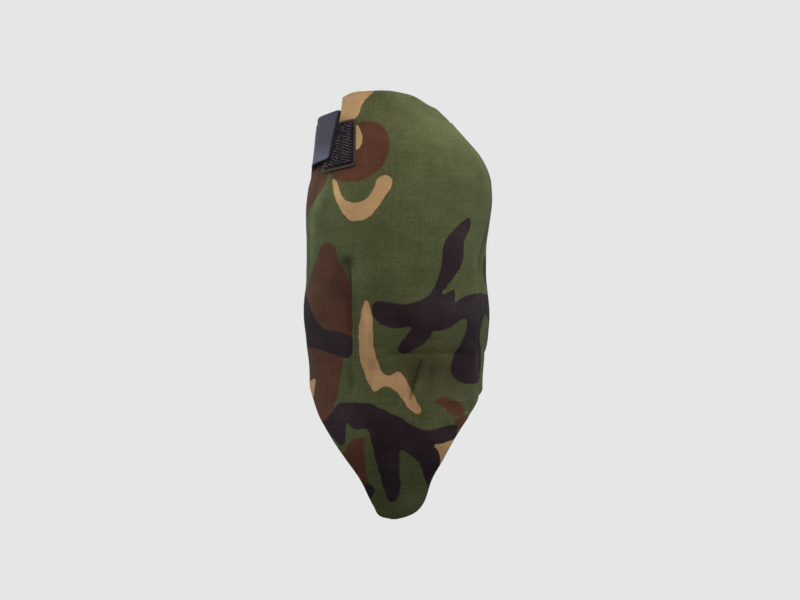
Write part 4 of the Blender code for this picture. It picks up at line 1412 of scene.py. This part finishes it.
web = strap_piece("strap_slate_back", 0.0, STRAP_FREE + 3.0, PILE_T + 0.15, STRAP_T, STRAP,
                  "strap_webbing", edge_round=0.3, cols=46, rows=44, corner=1.3)
pile = strap_piece("strap_pile_layer", -0.8, STRAP_FREE + 2.0, 0.0, PILE_T + 0.12, PILE,
                   "strap_loop_pile", edge_round=0.35, cols=46, rows=44, corner=1.3)
sewn = strap_piece("strap_sewn_end_cover", SEWN_START, SEWN_END, 0.25, STRAP_T, STRAP,
                   "strap_sewn_end", edge_round=0.3, cols=16, rows=40)
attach(sewn, "wing_left")
loose = pile_loops()
bend_start, bend_end = (placed(lifted(*strap_at(np.array(run), np.array(0.0)), 2.5))
                        for run in (STRAP_FREE + 3.2, STRAP_FREE - 7.0))
for ob in (web, pile, loose):
    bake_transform(ob)
    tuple(bend_start)
    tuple(bend_end)

SEWN_RUNS = border_runs(0.12, 0.88, 0.06, 0.94) + [((0.14, 0.08), (0.86, 0.92)),
                                                  ((0.14, 0.92), (0.86, 0.08))]
fit(stitches("strap_sewn_end_stitches", sewn_at, strap_surface,
             lambda u: strap_lift(SEWN_START + u * SEWN_LEN) + STRAP_T + 0.05,
             SEWN_RUNS, SEWN_LEN, 0.17, THREAD_IN),
    "wing_left", "strap_sewn_end_stitch")


# ---------------------------------------------------------- sewing on the inside
def zigzag(name, angle, z, width, pitch, node):
    """Zigzag thread over a seam, on the lining."""
    run = run_length(base(angle, z))
    s = np.linspace(0, run[-1], int(run[-1] / pitch) * 4 + 1)
    path_angle, path_z = np.interp(s, run, angle), np.interp(s, run, z)
    phase = s / pitch * math.pi
    off = width / 2 * (2 / math.pi) * np.arcsin(np.sin(phase))
    if abs(z[-1] - z[0]) < abs(angle[-1] - angle[0]):
        path_z = path_z + off
    else:
        path_angle = path_angle + off / MM_PER_DEGREE
    lift = relief(path_angle, path_z) - CLOTH_T - 0.15 - 0.12 * np.abs(np.cos(phase))
    ob = tubes(name, [lifted(path_angle, path_z, lift)], 0.22, THREAD_IN)
    fit(ob, "face", node)


seam_z = np.linspace(103.0, 313.0, 120)
zigzag("centre_front_zigzag", NOSE + 0 * seam_z, seam_z, 4.2, 1.7, "centre_front_stitch")
chin_z = np.full(40, 135.5)
chin_angle = angle_at_x(np.linspace(6.0, 60.0, 40), chin_z)
zigzag("chin_dart_right_zigzag", chin_angle, chin_z, 3.0, 1.6, "chin_dart_stitch_right")
zigzag("chin_dart_left_zigzag", 2 * NOSE - chin_angle[::-1], chin_z, 3.0, 1.6,
       "chin_dart_stitch_left")
dart_z = np.linspace(101.0, 206.0, 50)
zigzag("side_dart_right_zigzag", angle_at_x(-36.0 - 1.6 * (206.0 - dart_z) / 110.0, dart_z),
       dart_z, 3.0, 1.6, "side_dart_stitch_right")
dart_z = np.linspace(118.0, 206.0, 50)
zigzag("side_dart_left_zigzag", 2 * NOSE - angle_at_x(-34.0, dart_z), dart_z, 3.0, 1.6,
       "side_dart_stitch_left")

# ------------------------------------------------------------- studio and view
PALE = (0.791, 0.791, 0.791)    # pale grey of the paper and of the air behind it


def stage_material():
    """Pale paper: evenly lit to the eye, and dimmer as a bounce on the cloth."""
    net = MaterialNet("studio_paper")
    patch = net.above(net.noise(net.coords(), scale=3.0, detail=2.0), low=0.3, high=0.7)
    material = net.surface({
        "Base Color": net.mix(patch, (0.30, 0.30, 0.30), (0.33, 0.33, 0.33)),
        "Roughness": 0.95,
        "Specular IOR Level": 0.1,
    })
    glow = net.node("ShaderNodeEmission")
    net.put(glow.inputs[0], PALE)
    ray = net.node("ShaderNodeLightPath")
    either = net.node("ShaderNodeMixShader")
    net.put(either.inputs[0], ray.outputs["Is Camera Ray"])
    net.put(either.inputs[1], net.shader.outputs[0])
    net.put(either.inputs[2], glow.outputs[0])
    net.put(net.output.inputs[0], either.outputs[0])
    return material


def floor():
    """Round paper floor well below the mask."""
    z, radii, parts = -420.0, (1000.0, 3000.0, 7000.0), 64
    verts, faces = [(0.0, 0.0, z)], []
    turns = [2 * math.pi * k / parts for k in range(parts)]
    for radius in radii:
        verts += [(radius * math.cos(turn), radius * math.sin(turn), z) for turn in turns]
    for k in range(parts):
        k2 = (k + 1) % parts
        faces.append((0, 1 + k, 1 + k2))
        for ring in range(len(radii) - 1):
            a = 1 + ring * parts
            faces.append((a + k, a + parts + k, a + parts + k2, a + k2))
    new_object("studio_floor", verts, faces, stage_material(), shift=0.0)


def area(name, at, size, power, colour=(1, 1, 1), target=(0.0, 0.0, 0.2)):
    """Rectangular light, in metres and watts, turned to a target."""
    light = bpy.data.lights.new(name, "AREA")
    light.shape = "RECTANGLE"
    light.size, light.size_y = size
    light.energy = power
    light.color = colour
    ob = bpy.data.objects.new(name, light)
    bpy.context.scene.collection.objects.link(ob)
    ob.location = at
    ob.rotation_euler = (Vector(target) - Vector(at)).to_track_quat("-Z", "Y").to_euler()
    return light


def lights():
    cool = (0.86, 1.0, 0.99)
    key = area("key_front", at=(0.22, -0.60, 0.80), size=(0.5, 0.35), power=0.56,
               colour=(1.0, 0.985, 0.955), target=(0.0, -0.05, 0.36))
    key.spread = math.radians(58)
    area("top", at=(0.0, -0.05, 0.95), size=(0.8, 0.8), power=2.8)
    area("side_left", at=(-1.0, 0.12, 0.55), size=(0.5, 0.8), power=5.2, colour=cool)
    area("side_right", at=(1.0, 0.05, 0.60), size=(0.5, 0.8), power=3.5, colour=cool)
    area("back", at=(-0.15, 0.80, 0.75), size=(0.7, 0.5), power=3.6)


def world():
    """Light rises from dark below to grey above; the camera sees even pale air."""
    studio = bpy.data.worlds.new("studio")
    bpy.context.scene.world = studio
    studio.use_nodes = True
    net = Net(studio.node_tree)
    background = net.tree.nodes["Background"]
    split = net.node("ShaderNodeSeparateXYZ")
    net.put(split.inputs[0], net.node("ShaderNodeTexCoord").outputs["Generated"])
    sky = net.node("ShaderNodeValToRGB")
    stops = sky.color_ramp.elements
    stops[0].color = (0.02, 0.02, 0.02, 1.0)
    stops[1].color = (0.42, 0.42, 0.42, 1.0)
    stops.new(0.5).color = (0.095, 0.105, 0.105, 1.0)
    net.put(sky.inputs[0], net.scaled(split.outputs[2], gain=0.5, base=0.5))
    ray = net.node("ShaderNodeLightPath")
    net.put(background.inputs[0], net.mix(ray.outputs["Is Camera Ray"], sky.outputs[0], PALE))
    background.inputs[1].default_value = 1.0


def camera():
    data = bpy.data.cameras.new("camera")
    ob = bpy.data.objects.new("camera", data)
    bpy.context.scene.collection.objects.link(ob)
    data.sensor_fit = "HORIZONTAL"
    data.sensor_width = 36.0
    data.lens = data.sensor_width * EYE / VIEW_WIDTH
    data.clip_end = 50.0
    ob.location = placed((VIEW_X, -EYE, VIEW_Z))
    ob.rotation_euler = (math.pi / 2, 0.0, 0.0)
    bpy.context.scene.camera = ob


floor()
lights()
world()
bpy.context.scene.view_settings.view_transform = "Standard"
camera()
